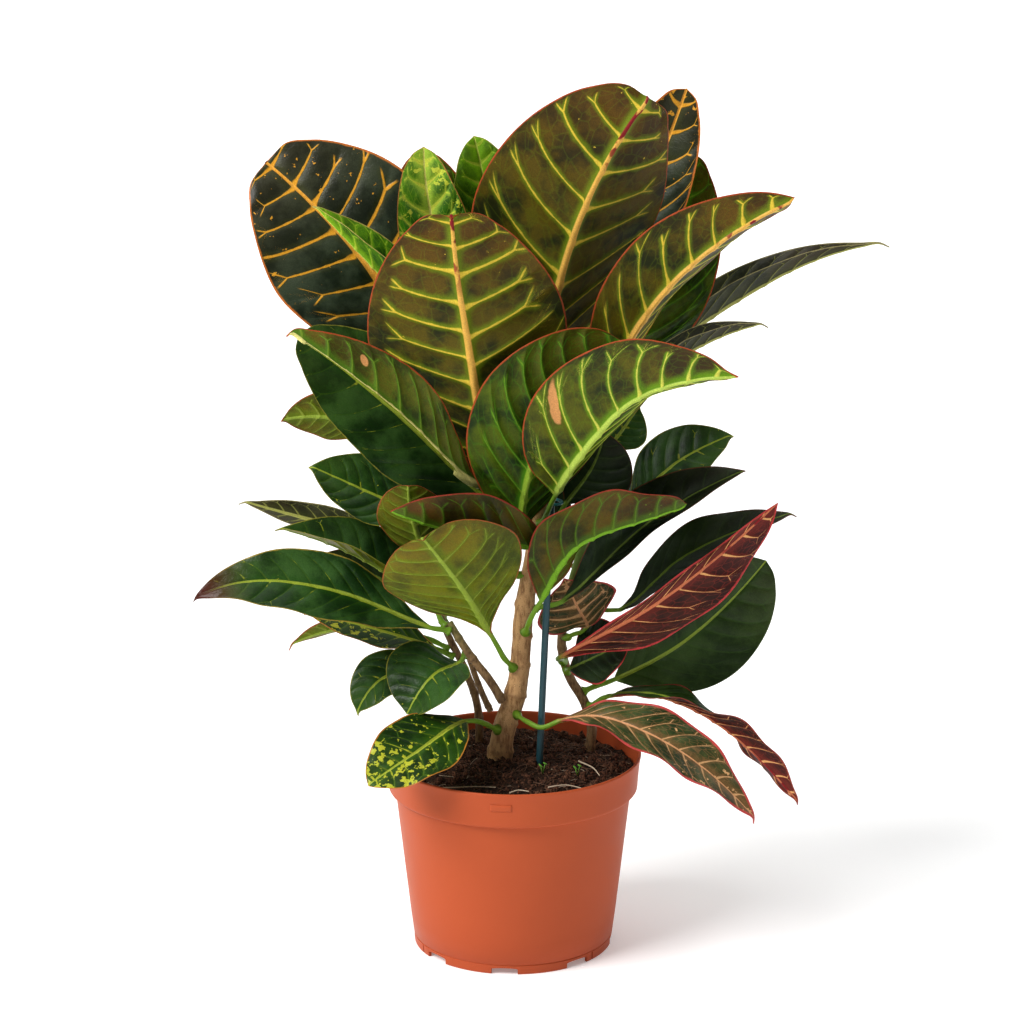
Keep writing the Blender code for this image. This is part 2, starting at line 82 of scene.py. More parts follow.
def add_node(tree, kind, inputs=None, **settings):
    """Adds a node, sets it up, and fills or links its inputs by position or by name."""
    made = tree.nodes.new(kind)
    for name, value in settings.items():
        setattr(made, name, value)
    for key, value in (inputs or {}).items():
        socket = made.inputs[key]
        if isinstance(value, bpy.types.NodeSocket):
            tree.links.new(value, socket)
        else:
            socket.default_value = value
    return made


def sums(tree, operation, first, second=0.0, third=0.0):
    """A sum of up to three values, in a shader or in geometry nodes."""
    return add_node(tree, "ShaderNodeMath", {0: first, 1: second, 2: third}, operation=operation).outputs[0]


def vector_sums(tree, operation, first, second):
    """Works on two vectors, or scales the first by a plain value."""
    key = "Scale" if operation == "SCALE" else 1
    return add_node(tree, "ShaderNodeVectorMath", {0: first, key: second}, operation=operation).outputs[0]


def fade(tree, value, start, end, low=0.0, high=1.0):
    """Runs smoothly from low, where value is start, to high, where it is end."""
    made = add_node(
        tree,
        "ShaderNodeMapRange",
        {"Value": value, "From Min": start, "From Max": end, "To Min": low, "To Max": high},
        interpolation_type="SMOOTHSTEP",
    )
    return made.outputs[0]


def blend(tree, share, first, second):
    """Mixes two colours: the first where share is 0, the second where it is 1."""
    made = add_node(tree, "ShaderNodeMix", data_type="RGBA")
    for socket, value in ((made.inputs[0], share), (made.inputs[6], first), (made.inputs[7], second)):
        if isinstance(value, bpy.types.NodeSocket):
            tree.links.new(value, socket)
        else:
            socket.default_value = value if isinstance(value, float) else (*value, 1)
    return made.outputs[2]


def noise(tree, place, scale, detail=3.0, rough=0.55):
    inputs = {"Vector": place, "Scale": scale, "Detail": detail, "Roughness": rough}
    return add_node(tree, "ShaderNodeTexNoise", inputs).outputs[0]


def cells(tree, place, scale):
    """How far each place lies from the walls of a net of cells."""
    inputs = {"Vector": place, "Scale": scale}
    return add_node(tree, "ShaderNodeTexVoronoi", inputs, feature="DISTANCE_TO_EDGE").outputs[0]


def new_material(name):
    made = bpy.data.materials.new(name)
    made.use_nodes = True
    tree = made.node_tree
    return made, tree, tree.nodes["Principled BSDF"]


def object_place(tree):
    return add_node(tree, "ShaderNodeTexCoord").outputs["Object"]


def bump(tree, shader, height, strength, distance):
    made = add_node(tree, "ShaderNodeBump", {"Height": height, "Strength": strength, "Distance": distance})
    tree.links.new(made.outputs[0], shader.inputs["Normal"])


def attribute(tree, name):
    return add_node(tree, "ShaderNodeAttribute", attribute_name=name).outputs["Fac"]


# ---------------------------------------------------------------- finishes


def terracotta_plastic():
    """The pot's matt plastic: faintly clouded and dusty, with painted shade darkening it towards its foot,
    and a fine grain.
    """
    made, tree, shader = new_material("terracotta plastic")
    place = object_place(tree)
    cloud = noise(tree, place, 18.0)
    dust = noise(tree, place, 420.0, 2.0)
    height = add_node(tree, "ShaderNodeSeparateXYZ", {0: place}).outputs[2]
    body = blend(tree, cloud, (0.43, 0.082, 0.026), (0.49, 0.098, 0.032))
    # Painted shade: the body is darkened towards its foot.
    low = fade(tree, height, 0.0, 0.035, 0.35, 0.0)
    body = blend(tree, low, body, (0.38, 0.074, 0.028))
    body = blend(tree, fade(tree, dust, 0.66, 0.78, 0.0, 0.25), body, (0.36, 0.09, 0.04))
    tree.links.new(body, shader.inputs["Base Color"])
    tree.links.new(fade(tree, cloud, 0.3, 0.7, 0.42, 0.52), shader.inputs["Roughness"])
    shader.inputs["Specular IOR Level"].default_value = 0.17
    bump(tree, shader, noise(tree, place, 900.0, 2.0), 0.12, 0.0004)
    return made


def peat(name, dark, light, grain=700.0):
    """Dry peat, with painted shade darkening the hollows of its fine grain, darker broad patches, and lighter
    grains.
    """
    made, tree, shader = new_material(name)
    place = object_place(tree)
    fine = noise(tree, place, grain, 4.0, 0.65)
    broad = noise(tree, place, 90.0, 2.0)
    # The fine grain also makes the bump, so its hollows are painted dark as shade; the lighter grains are the
    # peat's own tone.
    mixed = blend(tree, fade(tree, fine, 0.35, 0.7), dark, light)
    mixed = blend(tree, fade(tree, broad, 0.45, 0.7, 0.0, 0.6), mixed, dark)
    tree.links.new(mixed, shader.inputs["Base Color"])
    tree.links.new(fade(tree, fine, 0.3, 0.7, 0.95, 0.78), shader.inputs["Roughness"])
    shader.inputs["Specular IOR Level"].default_value = 0.2
    bump(tree, shader, fine, 0.8, 0.001)
    return made


def bark(name, dark, light, green, crack=260.0, green_from=0.25, green_to=0.34):
    """Corky bark that runs into green where the stem is young, from one height to the other."""
    made, tree, shader = new_material(name)
    place = object_place(tree)
    stretched = add_node(tree, "ShaderNodeMapping", {"Vector": place, "Scale": (1.0, 1.0, 0.28)}).outputs[0]
    long_grain = noise(tree, stretched, crack * 1.6, 5.0, 0.6)
    blotch = noise(tree, place, crack * 0.35, 3.0)
    pores = noise(tree, place, crack * 5.0, 2.0)
    mixed = blend(tree, fade(tree, long_grain, 0.30, 0.58), dark, light)
    mixed = blend(tree, fade(tree, blotch, 0.55, 0.75, 0.0, 0.5), mixed, dark)
    mixed = blend(tree, fade(tree, pores, 0.60, 0.70, 0.0, 0.7), mixed, tuple(c * 0.35 for c in dark))
    scar = attribute(tree, "scar")
    mixed = blend(tree, fade(tree, scar, 0.15, 0.9, 0.0, 0.55), mixed, dark)
    height = add_node(tree, "ShaderNodeSeparateXYZ", {0: place}).outputs[2]
    mixed = blend(tree, fade(tree, height, green_from, green_to), mixed, green)
    tree.links.new(mixed, shader.inputs["Base Color"])
    tree.links.new(fade(tree, long_grain, 0.3, 0.7, 0.85, 0.6), shader.inputs["Roughness"])
    bump(tree, shader, long_grain, 0.6, 0.0008)
    return made


def smooth_plastic(name, base, light, roughness):
    """Drawn plastic for the stake and the tie, with faint streaks along its length."""
    made, tree, shader = new_material(name)
    place = object_place(tree)
    streak = add_node(tree, "ShaderNodeMapping", {"Vector": place, "Scale": (1.0, 1.0, 0.1)}).outputs[0]
    grain = noise(tree, streak, 600.0, 2.0)
    tree.links.new(blend(tree, grain, base, light), shader.inputs["Base Color"])
    tree.links.new(fade(tree, grain, 0.3, 0.7, roughness, roughness + 0.15), shader.inputs["Roughness"])
    bump(tree, shader, grain, 0.15, 0.0003)
    return made


def root_skin(name, base, light):
    """The finish of roots, fibres and seedlings."""
    made, tree, shader = new_material(name)
    grain = noise(tree, object_place(tree), 500.0, 3.0)
    tree.links.new(blend(tree, grain, base, light), shader.inputs["Base Color"])
    tree.links.new(fade(tree, grain, 0.3, 0.7, 0.75, 0.6), shader.inputs["Roughness"])
    bump(tree, shader, grain, 0.3, 0.0004)
    return made


# One face of a leaf: its dark and light flesh, the flush near its tip, its midrib and veins, the paler flesh
# beside them (halo, as strong as glow) and how its veins show: width in millimetres, show as unbroken lines,
# dash as broken ones, net as the fine net between them; spots is the share that is splashed with vein colour.
FACES = {
    "bronze": dict(dark=(0.016, 0.023, 0.001), light=(0.118, 0.090, 0.002), flush=(0.13, 0.036, 0.003),
                   rib=(0.82, 0.47, 0.09), vein=(0.74, 0.54, 0.05), halo=(0.17, 0.25, 0.005),
                   glow=0.85, width=1.4, show=1.0, dash=1.0, net=0.15, spots=0.02),
    "bronze green": dict(dark=(0.016, 0.026, 0.001), light=(0.105, 0.112, 0.002), flush=(0.13, 0.032, 0.010),
                         rib=(0.48, 0.62, 0.10), vein=(0.62, 0.62, 0.09), halo=(0.15, 0.32, 0.006),
                         glow=0.85, width=1.15, show=1.0, dash=1.0, net=0.13, spots=0.0),
    "olive": dict(dark=(0.050, 0.070, 0.001), light=(0.175, 0.185, 0.004), flush=(0.20, 0.085, 0.006),
                  rib=(0.30, 0.40, 0.045), vein=(0.24, 0.29, 0.030), halo=(0.14, 0.22, 0.004),
                  glow=0.7, width=0.7, show=0.85, dash=0.3, net=0.18, spots=0.0),
    "moss": dict(dark=(0.024, 0.026, 0.001), light=(0.105, 0.072, 0.003), flush=(0.13, 0.030, 0.008),
                 rib=(0.20, 0.42, 0.02), vein=(0.13, 0.24, 0.012), halo=(0.07, 0.15, 0.005),
                 glow=0.8, width=0.6, show=0.5, dash=0.2, net=0.15, spots=0.05),
    "ember": dict(dark=(0.010, 0.018, 0.008), light=(0.044, 0.062, 0.034), flush=(0.050, 0.034, 0.016),
                  rib=(0.86, 0.42, 0.055), vein=(0.80, 0.38, 0.030), halo=(0.07, 0.075, 0.012),
                  glow=0.4, width=1.7, show=1.0, dash=1.0, net=0.0, spots=0.15),
    "slate": dict(dark=(0.015, 0.020, 0.008), light=(0.052, 0.054, 0.024), flush=(0.06, 0.018, 0.010),
                  rib=(0.44, 0.44, 0.12), vein=(0.34, 0.34, 0.08), halo=(0.06, 0.07, 0.015),
                  glow=0.5, width=0.7, show=0.6, dash=0.5, net=0.2, spots=0.0),
    "deep green": dict(dark=(0.008, 0.032, 0.005), light=(0.044, 0.110, 0.022), flush=(0.04, 0.070, 0.008),
                       rib=(0.34, 0.42, 0.04), vein=(0.40, 0.42, 0.03), halo=(0.022, 0.085, 0.006),
                       glow=0.45, width=0.55, show=0.06, dash=0.75, net=0.15, spots=0.03),
    "blue green": dict(dark=(0.005, 0.014, 0.004), light=(0.020, 0.038, 0.012), flush=(0.03, 0.018, 0.008),
                       rib=(0.17, 0.24, 0.035), vein=(0.05, 0.09, 0.015), halo=(0.022, 0.045, 0.008),
                       glow=0.4, width=0.5, show=0.25, dash=0.1, net=0.15, spots=0.0),
    "plain green": dict(dark=(0.016, 0.040, 0.005), light=(0.045, 0.088, 0.016), flush=(0.05, 0.06, 0.015),
                        rib=(0.32, 0.42, 0.05), vein=(0.10, 0.16, 0.02), halo=(0.04, 0.10, 0.012),
                        glow=0.4, width=0.5, show=0.12, dash=0.0, net=0.1, spots=0.0),
    "quilted green": dict(dark=(0.013, 0.036, 0.001), light=(0.098, 0.140, 0.003), flush=(0.12, 0.07, 0.004),
                          rib=(0.30, 0.45, 0.04), vein=(0.22, 0.32, 0.02), halo=(0.07, 0.24, 0.005),
                          glow=0.95, width=0.8, show=0.7, dash=0.9, net=0.3, spots=0.02),
    "fold green": dict(dark=(0.030, 0.048, 0.002), light=(0.130, 0.140, 0.009), flush=(0.16, 0.08, 0.012),
                       rib=(0.76, 0.70, 0.24), vein=(0.24, 0.34, 0.03), halo=(0.09, 0.21, 0.010),
                       glow=0.9, width=0.7, show=0.6, dash=0.8, net=0.25, spots=0.0),
    "mottled green": dict(dark=(0.006, 0.026, 0.002), light=(0.022, 0.066, 0.005), flush=(0.03, 0.06, 0.004),
                          rib=(0.42, 0.48, 0.05), vein=(0.55, 0.56, 0.04), halo=(0.05, 0.13, 0.008),
                          glow=0.6, width=0.6, show=0.12, dash=0.8, net=0.1, spots=0.42),
    "young yellow": dict(dark=(0.008, 0.080, 0.004), light=(0.050, 0.260, 0.008), flush=(0.30, 0.55, 0.03),
                         rib=(0.80, 0.80, 0.18), vein=(0.70, 0.76, 0.07), halo=(0.42, 0.62, 0.05),
                         glow=1.0, width=1.3, show=0.9, dash=0.9, net=0.35, spots=0.34),
    "young green": dict(dark=(0.014, 0.075, 0.003), light=(0.090, 0.270, 0.008), flush=(0.18, 0.32, 0.01),
                        rib=(0.56, 0.70, 0.10), vein=(0.48, 0.64, 0.05), halo=(0.22, 0.46, 0.01),
                        glow=1.0, width=1.0, show=0.9, dash=0.8, net=0.4, spots=0.05),
    "maroon": dict(dark=(0.018, 0.004, 0.002), light=(0.066, 0.013, 0.006), flush=(0.10, 0.008, 0.008),
                   rib=(0.56, 0.17, 0.075), vein=(0.78, 0.40, 0.15), halo=(0.20, 0.022, 0.014),
                   glow=0.6, width=0.75, show=0.95, dash=0.8, net=0.55, spots=0.0),
    "rose grey": dict(dark=(0.014, 0.032, 0.006), light=(0.085, 0.110, 0.034), flush=(0.10, 0.05, 0.02),
                      rib=(0.70, 0.36, 0.17), vein=(0.74, 0.42, 0.19), halo=(0.26, 0.13, 0.05),
                      glow=0.5, width=0.75, show=0.8, dash=1.0, net=0.5, spots=0.22),
}
FORK_START = 0.13  # how far before its end a vein forks, as a share of the half blade
FORK_SPREAD = 44 * MM
CRIMSON = (0.26, 0.010, 0.014)
PEACH = (0.78, 0.36, 0.13)
PETIOLE_GREEN = (0.17, 0.31, 0.025)


def leaf_face(tree, marks, face):
    """Colour of one face of a leaf, and how much of it is vein."""
    tone = FACES[face]
    flesh = blend(tree, fade(tree, marks["cloud"], 0.38, 0.63), tone["dark"], tone["light"])
    toward_tip = sums(tree, "MULTIPLY", fade(tree, marks["along"], 0.45, 1.0), marks["cloud"])
    flesh = blend(tree, toward_tip, flesh, tone["flush"])
    width = tone["width"] * MM
    chance = marks["chance"]
    end = sums(tree, "MULTIPLY_ADD", chance[0], 0.26, 0.70)
    past_fork = sums(tree, "SUBTRACT", marks["out"], sums(tree, "SUBTRACT", end, FORK_START))
    parted = sums(tree, "MAXIMUM", past_fork, 0.0)
    fork = sums(tree, "MULTIPLY", sums(tree, "MULTIPLY", parted, chance[1]), FORK_SPREAD)
    from_line = sums(tree, "ABSOLUTE", sums(tree, "SUBTRACT", marks["vein"], fork))
    swell = sums(tree, "MULTIPLY_ADD", fade(tree, marks["rib"], 9 * MM, 0.0), 1.0, 0.55)
    swell = sums(tree, "MULTIPLY", swell, sums(tree, "MULTIPLY_ADD", marks["bead"], 1.3, 0.30))
    swell = sums(tree, "MULTIPLY", swell, sums(tree, "MULTIPLY_ADD", chance[2], 0.6, 0.65))
    near = sums(tree, "MULTIPLY_ADD", marks["wobble"], 0.7 * MM, from_line)
    near = sums(tree, "DIVIDE", near, swell)
    inside = fade(tree, marks["out"], sums(tree, "ADD", end, 0.06), sums(tree, "SUBTRACT", end, 0.02))
    halo = fade(tree, near, 5.0 * width, 0.4 * width, 0.0, tone["glow"])
    halo = sums(tree, "MULTIPLY", halo, inside)
    rib_halo = fade(tree, marks["rib"], 6.0 * MM, 1.5 * MM, 0.0, tone["glow"])
    flesh = blend(tree, sums(tree, "MAXIMUM", halo, rib_halo), flesh, tone["halo"])
    if tone["net"]:
        flesh = blend(tree, fade(tree, marks["net"], 0.07, 0.01, 0.0, tone["net"]), flesh, tone["halo"])
    if tone["spots"]:
        reach = 0.76 - 0.42 * tone["spots"]
        speck = sums(tree, "MULTIPLY_ADD", sums(tree, "SUBTRACT", marks["along"], 0.5), 0.16, marks["speck"])
        splash = fade(tree, speck, reach, reach + 0.03, 0.0, 0.9)
        flesh = blend(tree, splash, flesh, tone["vein"])
    line = fade(tree, near, 1.1 * width, 0.45 * width)
    line = sums(tree, "MULTIPLY", line, inside)
    broken = fade(tree, marks["splash"], 0.56, 0.62, tone["show"], max(tone["dash"], tone["show"]))
    line = sums(tree, "MULTIPLY", line, broken)
    flesh = blend(tree, line, flesh, tone["vein"])
    thin = fade(tree, marks["along"], 0.0, 1.0, 1.0, 0.34)
    from_rib = sums(tree, "DIVIDE", marks["rib"], thin)
    rib = fade(tree, from_rib, 2.9 * MM * marks["stout"], 1.9 * MM * marks["stout"])
    rib_tone = tone["rib"]
    if face in ("bronze", "maroon"):
        near_tip = fade(tree, marks["along"], 0.62, 0.8)
        red = sums(tree, "MULTIPLY", near_tip, fade(tree, marks["splash"], 0.5, 0.56))
        rib_tone = blend(tree, red, tone["rib"], CRIMSON)
    return blend(tree, rib, flesh, rib_tone), sums(tree, "MAXIMUM", line, rib)


def leaf_skin(name, upper, under, margin, margin_width=1.0, gloss=0.30, tip=None, stout=1.0, patch=None):
    """A leaf's finish: its two faces, the coloured line along its margin, and a tip of another colour.

    gloss is the upper face's roughness; the under face is a little rougher. stout widens the midrib. patch is
    where a pale patch sits: beside which vein, how far across, and its size.
    """
    made, tree, shader = new_material(name)
    place = object_place(tree)
    phase = attribute(tree, "phase")
    across = attribute(tree, "across")
    tint = attribute(tree, "tint")
    cell = sums(tree, "ABSOLUTE", sums(tree, "SUBTRACT", sums(tree, "FRACT", phase), 0.5))
    one_side = sums(tree, "GREATER_THAN", across, 0.0)
    which = sums(tree, "MULTIPLY_ADD", one_side, 37.3, sums(tree, "ROUND", phase))
    which = sums(tree, "MULTIPLY_ADD", tint, 91.7, which)
    thrown = add_node(tree, "ShaderNodeTexWhiteNoise", {"W": which}, noise_dimensions="1D").outputs["Color"]
    mesh_place = add_node(
        tree,
        "ShaderNodeCombineXYZ",
        {0: sums(tree, "MULTIPLY", phase, 2.3), 1: sums(tree, "MULTIPLY", across, 6.0), 2: tint},
    ).outputs[0]
    net = cells(tree, mesh_place, 1.0)
    marks = {
        "edge": attribute(tree, "edge"),
        "rib": attribute(tree, "rib"),
        "out": sums(tree, "ABSOLUTE", across),
        "along": attribute(tree, "along"),
        "vein": sums(tree, "MULTIPLY", sums(tree, "SUBTRACT", 0.5, cell), attribute(tree, "spacing")),
        "cloud": noise(tree, place, 42.0, 5.0, 0.62),
        "splash": noise(tree, place, 120.0, 2.0, 0.45),
        "speck": noise(tree, place, 210.0, 3.0, 0.6),
        "wobble": sums(tree, "SUBTRACT", noise(tree, place, 240.0, 3.0), 0.5),
        "bead": noise(tree, place, 135.0, 1.0),
        "chance": add_node(tree, "ShaderNodeSeparateColor", {0: thrown}).outputs,
        "net": net,
        "stout": stout,
    }
    top, top_line = leaf_face(tree, marks, upper)
    back, back_line = leaf_face(tree, marks, under)
    side = attribute(tree, "under")
    skin = blend(tree, side, top, back)
    if patch:
        shift = add_node(
            tree,
            "ShaderNodeCombineXYZ",
            {0: sums(tree, "SUBTRACT", phase, patch[0]), 1: sums(tree, "SUBTRACT", across, patch[1])},
        ).outputs[0]
        far = vector_sums(tree, "MULTIPLY", shift, (0.26, 0.36, 0.0))
        far = add_node(tree, "ShaderNodeVectorMath", {0: far}, operation="LENGTH").outputs["Value"]
        far = sums(tree, "MULTIPLY_ADD", marks["bead"], patch[2] * 0.8, far)
        skin = blend(tree, fade(tree, far, patch[2] * 1.4, patch[2] * 1.15, 0.0, 0.85), skin, PEACH)
    rim = sums(tree, "MULTIPLY_ADD", marks["wobble"], 1.4 * MM, marks["edge"])
    rim = fade(tree, rim, 1.3 * margin_width * MM, 0.5 * margin_width * MM)
    skin = blend(tree, rim, skin, margin)
    if tip:
        skin = blend(tree, fade(tree, marks["along"], 0.72, 0.95), skin, tip)
    pores = noise(tree, place, 1500.0, 2.0)
    pore_tone = tuple(c * 0.3 for c in FACES[upper]["dark"])
    skin = blend(tree, fade(tree, pores, 0.35, 0.65, 0.0, 0.22), skin, pore_tone)
    stalk = fade(tree, marks["along"], -0.02, 0.05)
    skin = blend(tree, stalk, PETIOLE_GREEN, skin)
    tree.links.new(skin, shader.inputs["Base Color"])
    line = blend(tree, side, top_line, back_line)
    matt = fade(tree, side, 0.0, 1.0, gloss, gloss + 0.16)
    tree.links.new(sums(tree, "MULTIPLY_ADD", marks["cloud"], 0.14, matt), shader.inputs["Roughness"])
    shader.inputs["Specular IOR Level"].default_value = 0.21
    fine_net = fade(tree, cells(tree, place, 420.0), 0.0, 0.12, 0.0, 0.12)
    relief = sums(tree, "MULTIPLY_ADD", line, 0.6, fine_net)
    relief = sums(tree, "MULTIPLY_ADD", pores, 0.2, relief)
    relief = sums(tree, "MULTIPLY_ADD", marks["bead"], 1.2, relief)
    bump(tree, shader, relief, 0.45, 0.0006)
    return made


RUST = (0.42, 0.070, 0.016)
AMBER = (0.60, 0.18, 0.030)
FINISHES = {
    "crown leaf": dict(upper="ember", under="bronze", margin=RUST, margin_width=0.9, stout=1.15),
    "star leaf": dict(
        upper="ember", under="bronze green", margin=RUST, margin_width=0.9, patch=(2.6, 0.72, 0.082)
    ),
    "folded leaf": dict(
        upper="deep green", under="fold green", margin=RUST, margin_width=0.9, patch=(6.4, -0.55, 0.050)
    ),
    "ember leaf": dict(upper="ember", under="bronze", margin=AMBER, margin_width=1.3, gloss=0.26),
    "slate leaf": dict(upper="slate", under="slate", margin=(0.30, 0.26, 0.11), margin_width=0.7),
    "quilted leaf": dict(upper="quilted green", under="quilted green", margin=RUST, margin_width=0.9),
    "olive leaf": dict(
        upper="deep green", under="olive", margin=(0.36, 0.10, 0.025), margin_width=0.8, stout=0.8
    ),
    "moss leaf": dict(
        upper="deep green", under="moss", margin=(0.30, 0.035, 0.016), margin_width=0.9, stout=0.8
    ),
    "green leaf": dict(
        upper="deep green", under="olive", margin=(0.26, 0.24, 0.03), margin_width=0.6, gloss=0.24, stout=0.55
    ),
    "lance leaf": dict(
        upper="deep green", under="maroon", margin=(0.34, 0.25, 0.04), margin_width=0.7, gloss=0.24,
        tip=(0.075, 0.014, 0.007), stout=0.6,
    ),
    "shade leaf": dict(
        upper="blue green", under="olive", margin=(0.14, 0.05, 0.02), margin_width=0.7, stout=0.5
    ),
    "mottled leaf": dict(
        upper="mottled green", under="olive", margin=(0.50, 0.20, 0.03), margin_width=0.9, gloss=0.26,
        stout=0.6,
    ),
    "young leaf": dict(
        upper="young yellow", under="young green", margin=(0.52, 0.22, 0.05), margin_width=0.6, gloss=0.26,
        stout=0.6,
    ),
    "fresh leaf": dict(
        upper="young green", under="young green", margin=(0.50, 0.42, 0.10), margin_width=0.6, gloss=0.28,
        stout=0.6,
    ),
    "plain leaf": dict(
        upper="plain green", under="plain green", margin=(0.10, 0.14, 0.03), margin_width=0.5, stout=0.5
    ),
    "twisted leaf": dict(upper="plain green", under="maroon", margin=(0.30, 0.045, 0.030), stout=0.6),
    "maroon leaf": dict(
        upper="blue green", under="maroon", margin=(0.50, 0.045, 0.045), margin_width=1.1, stout=0.4
    ),
    "rose leaf": dict(
        upper="rose grey", under="maroon", margin=(0.58, 0.075, 0.070), margin_width=1.6, stout=0.42
    ),
}
SKINS = {name: leaf_skin(name, **parts) for name, parts in FINISHES.items()}

# ---------------------------------------------------------------- making pieces


def put(name, mesh, finish, nodes):
    """Makes a mesh a piece of the plant, with its finish. It stands for the CAD nodes that are named."""
    made = bpy.data.objects.new(name, mesh)
    bpy.context.scene.collection.objects.link(made)
    mesh.materials.clear()
    mesh.materials.append(finish)
    mesh.shade_smooth()
    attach(made, "root")
    if nodes:
        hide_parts(*nodes)
    return made


def grid_mesh(name, sections, closed_ends=True):
    """A mesh that is a skin through closed sections of as many points each, its ends closed on a point."""
    rows, count = sections.shape[:2]
    points = list(sections.reshape(-1, 3))
    faces = []
    for r in range(rows - 1):
        for i in range(count):
            j = (i + 1) % count
            faces.append((r * count + i, r * count + j, (r + 1) * count + j, (r + 1) * count + i))
    if closed_ends:
        for first, flip in ((0, True), ((rows - 1) * count, False)):
            points.append(np.mean(points[first : first + count], axis=0))
            middle = len(points) - 1
            for i in range(count):
                j = (i + 1) % count
                faces.append((middle, first + j, first + i) if flip else (middle, first + i, first + j))
    mesh = bpy.data.meshes.new(name)
    mesh.from_pydata([tuple(p) for p in points], [], faces)
    return mesh


def unit(v):
    return v / np.maximum(np.linalg.norm(v, axis=-1, keepdims=True), 1e-12)


def solid_of(node):
    """The CAD node's points, merged, and each point's neighbours."""
    work = bmesh.new()
    work.from_mesh(frame["nodes"][node].data)
    bmesh.ops.remove_doubles(work, verts=work.verts, dist=0.01 * MM)
    work.verts.ensure_lookup_table()
    points = np.array([v.co for v in work.verts])
    near = [{e.other_vert(v).index for e in v.link_edges} for v in work.verts]
    work.free()
    return points, near


# ---------------------------------------------------------------- leaves

RING = 9  # points in each ring of a leaf's solid
BLADE_START = 3  # rings of petiole before the blade


def leaf_rings(node):
    """A leaf's rings from its petiole's foot on, each from the left edge over the upper face, and its tip."""
    points, near = solid_of(node)
    poles = [i for i, found in enumerate(near) if len(found) == RING]
    best = None
    for pole in poles:
        ring = points[list(near[pole])]
        spread = np.linalg.norm(ring - ring.mean(axis=0), axis=1)
        roundness = spread.std() / spread.mean()
        if best is None or roundness < best[0]:
            best = (roundness, pole)
    seen, level, rings = {best[1]}, set(near[best[1]]), []
    while len(level) == RING:
        start = min(level)
        order = [start]
        while len(order) < RING:
            step = [i for i in near[order[-1]] & level if i not in order]
            step.sort(key=lambda i: np.linalg.norm(points[i] - points[order[-1]]))
            order.append(step[0])
        rings.append(points[order])
        seen |= level
        level = set().union(*(near[i] for i in level)) - seen
    tip = points[min(level)]
    middle = BLADE_START + 4
    rings[middle] = name_ring(rings[middle], rings[middle + 1].mean(axis=0) - rings[middle - 1].mean(axis=0))
    for r in range(middle + 1, len(rings)):
        rings[r] = match_ring(rings[r], rings[r - 1])
    for r in range(middle - 1, -1, -1):
        rings[r] = match_ring(rings[r], rings[r + 1])
    return np.array(rings), tip


def name_ring(ring, ahead):
    """Turns a blade's ring so that it starts at the left edge and goes over the upper face."""
    gaps = np.linalg.norm(ring[:, None] - ring[None], axis=2)
    a, b = sorted(np.unravel_index(gaps.argmax(), gaps.shape))
    if b - a != 4:
        a, b = b, a + RING
    ring = np.roll(ring, -a, axis=0)
    upper = ring[2] - (ring[6] + ring[7]) / 2
    side = np.cross(ahead, upper)
    if np.dot(ring[4] - ring[0], side) < 0:
        ring = np.concatenate([ring[4::-1], ring[:4:-1]])
    return ring


def match_ring(ring, known):
    """Turns a ring so that its points follow those of the ring beside it."""
    centred = known - known.mean(axis=0)
    scale = np.linalg.norm(centred)
    tries = [np.roll(way, -k, axis=0) for way in (ring, ring[::-1]) for k in range(RING)]

    def misfit(found):
        found = found - found.mean(axis=0)
        return np.linalg.norm(found / np.linalg.norm(found) - centred / scale)

    return min(tries, key=misfit)


def smooth_lines(knots, lines, count):
    """Points of each line at evenly spaced places along the knots, on a smooth curve.

    lines holds a row of the lines' points for each knot.
    """
    slopes = np.gradient(lines, knots, axis=0)
    places = np.linspace(knots[0], knots[-1], count)
    index = np.clip(np.searchsorted(knots, places, side="right") - 1, 0, len(knots) - 2)
    step = (knots[index + 1] - knots[index])[:, None, None]
    t = ((places - knots[index]) / (knots[index + 1] - knots[index]))[:, None, None]
    return (
        (2 * t**3 - 3 * t**2 + 1) * lines[index]
        + (t**3 - 2 * t**2 + t) * slopes[index] * step
        + (3 * t**2 - 2 * t**3) * lines[index + 1]
        + (t**3 - t**2) * slopes[index + 1] * step
    )


# Places of points from midrib to margin, and of rows of points round each vein, in vein spacings
ACROSS = (0, 0.018, 0.045, 0.09, 0.16, 0.25, 0.35, 0.45, 0.55, 0.65, 0.75, 0.84, 0.91, 0.96, 0.99, 1)
VEIN_ROWS = (-0.16, -0.07, 0.0, 0.07, 0.16, 0.32, 0.5, 0.68)
DENSE = 500  # places along a blade at which its five lines are worked out
THICK = 0.5 * MM
GROOVE = 0.35 * MM  # depth of the groove over the midrib
VEIN_DEPTH = 0.45 * MM
VEIN_WIDTH = 0.09  # of a vein spacing
SIDE_OFFSET = 0.25  # how far one half's veins stand off the other's, in vein spacings
END_SHARE = 0.05  # share of the blade, at foot and tip, in which its relief dies away
FOOT_SHARE = 0.045  # share of the blade in which its round foot runs out flat
PETIOLE_ROWS = 12
PETIOLE_INSIDE = 1.6 * MM  # how far a petiole reaches into its stem


def five_lines(body, tip, radius, point, wide):
    """The blade as five lines from foot to tip: a margin, the middle of a half, the midrib, and so on."""
    base = body[0].mean(axis=0)
    lines = body[:, :5].copy()
    side = unit(body[1][4] - body[1][0])
    up = unit(np.cross(side, unit(body[1].mean(axis=0) - base)))
    lines[0] = [base + side * radius * k + up * radius * 0.4 for k in (-0.9, -0.45, 0, 0.45, 0.9)]
    mid = lines[:, 2]
    end = tip + unit(tip - mid[-1]) * point * MM
    lines = np.concatenate([lines, np.repeat(end[None, None], 5, axis=1)])
    lines[1:-1, :2] = mid[1:, None] + (lines[1:-1, :2] - mid[1:, None]) * wide[0]
    lines[1:-1, 3:] = mid[1:, None] + (lines[1:-1, 3:] - mid[1:, None]) * wide[1]
    return lines


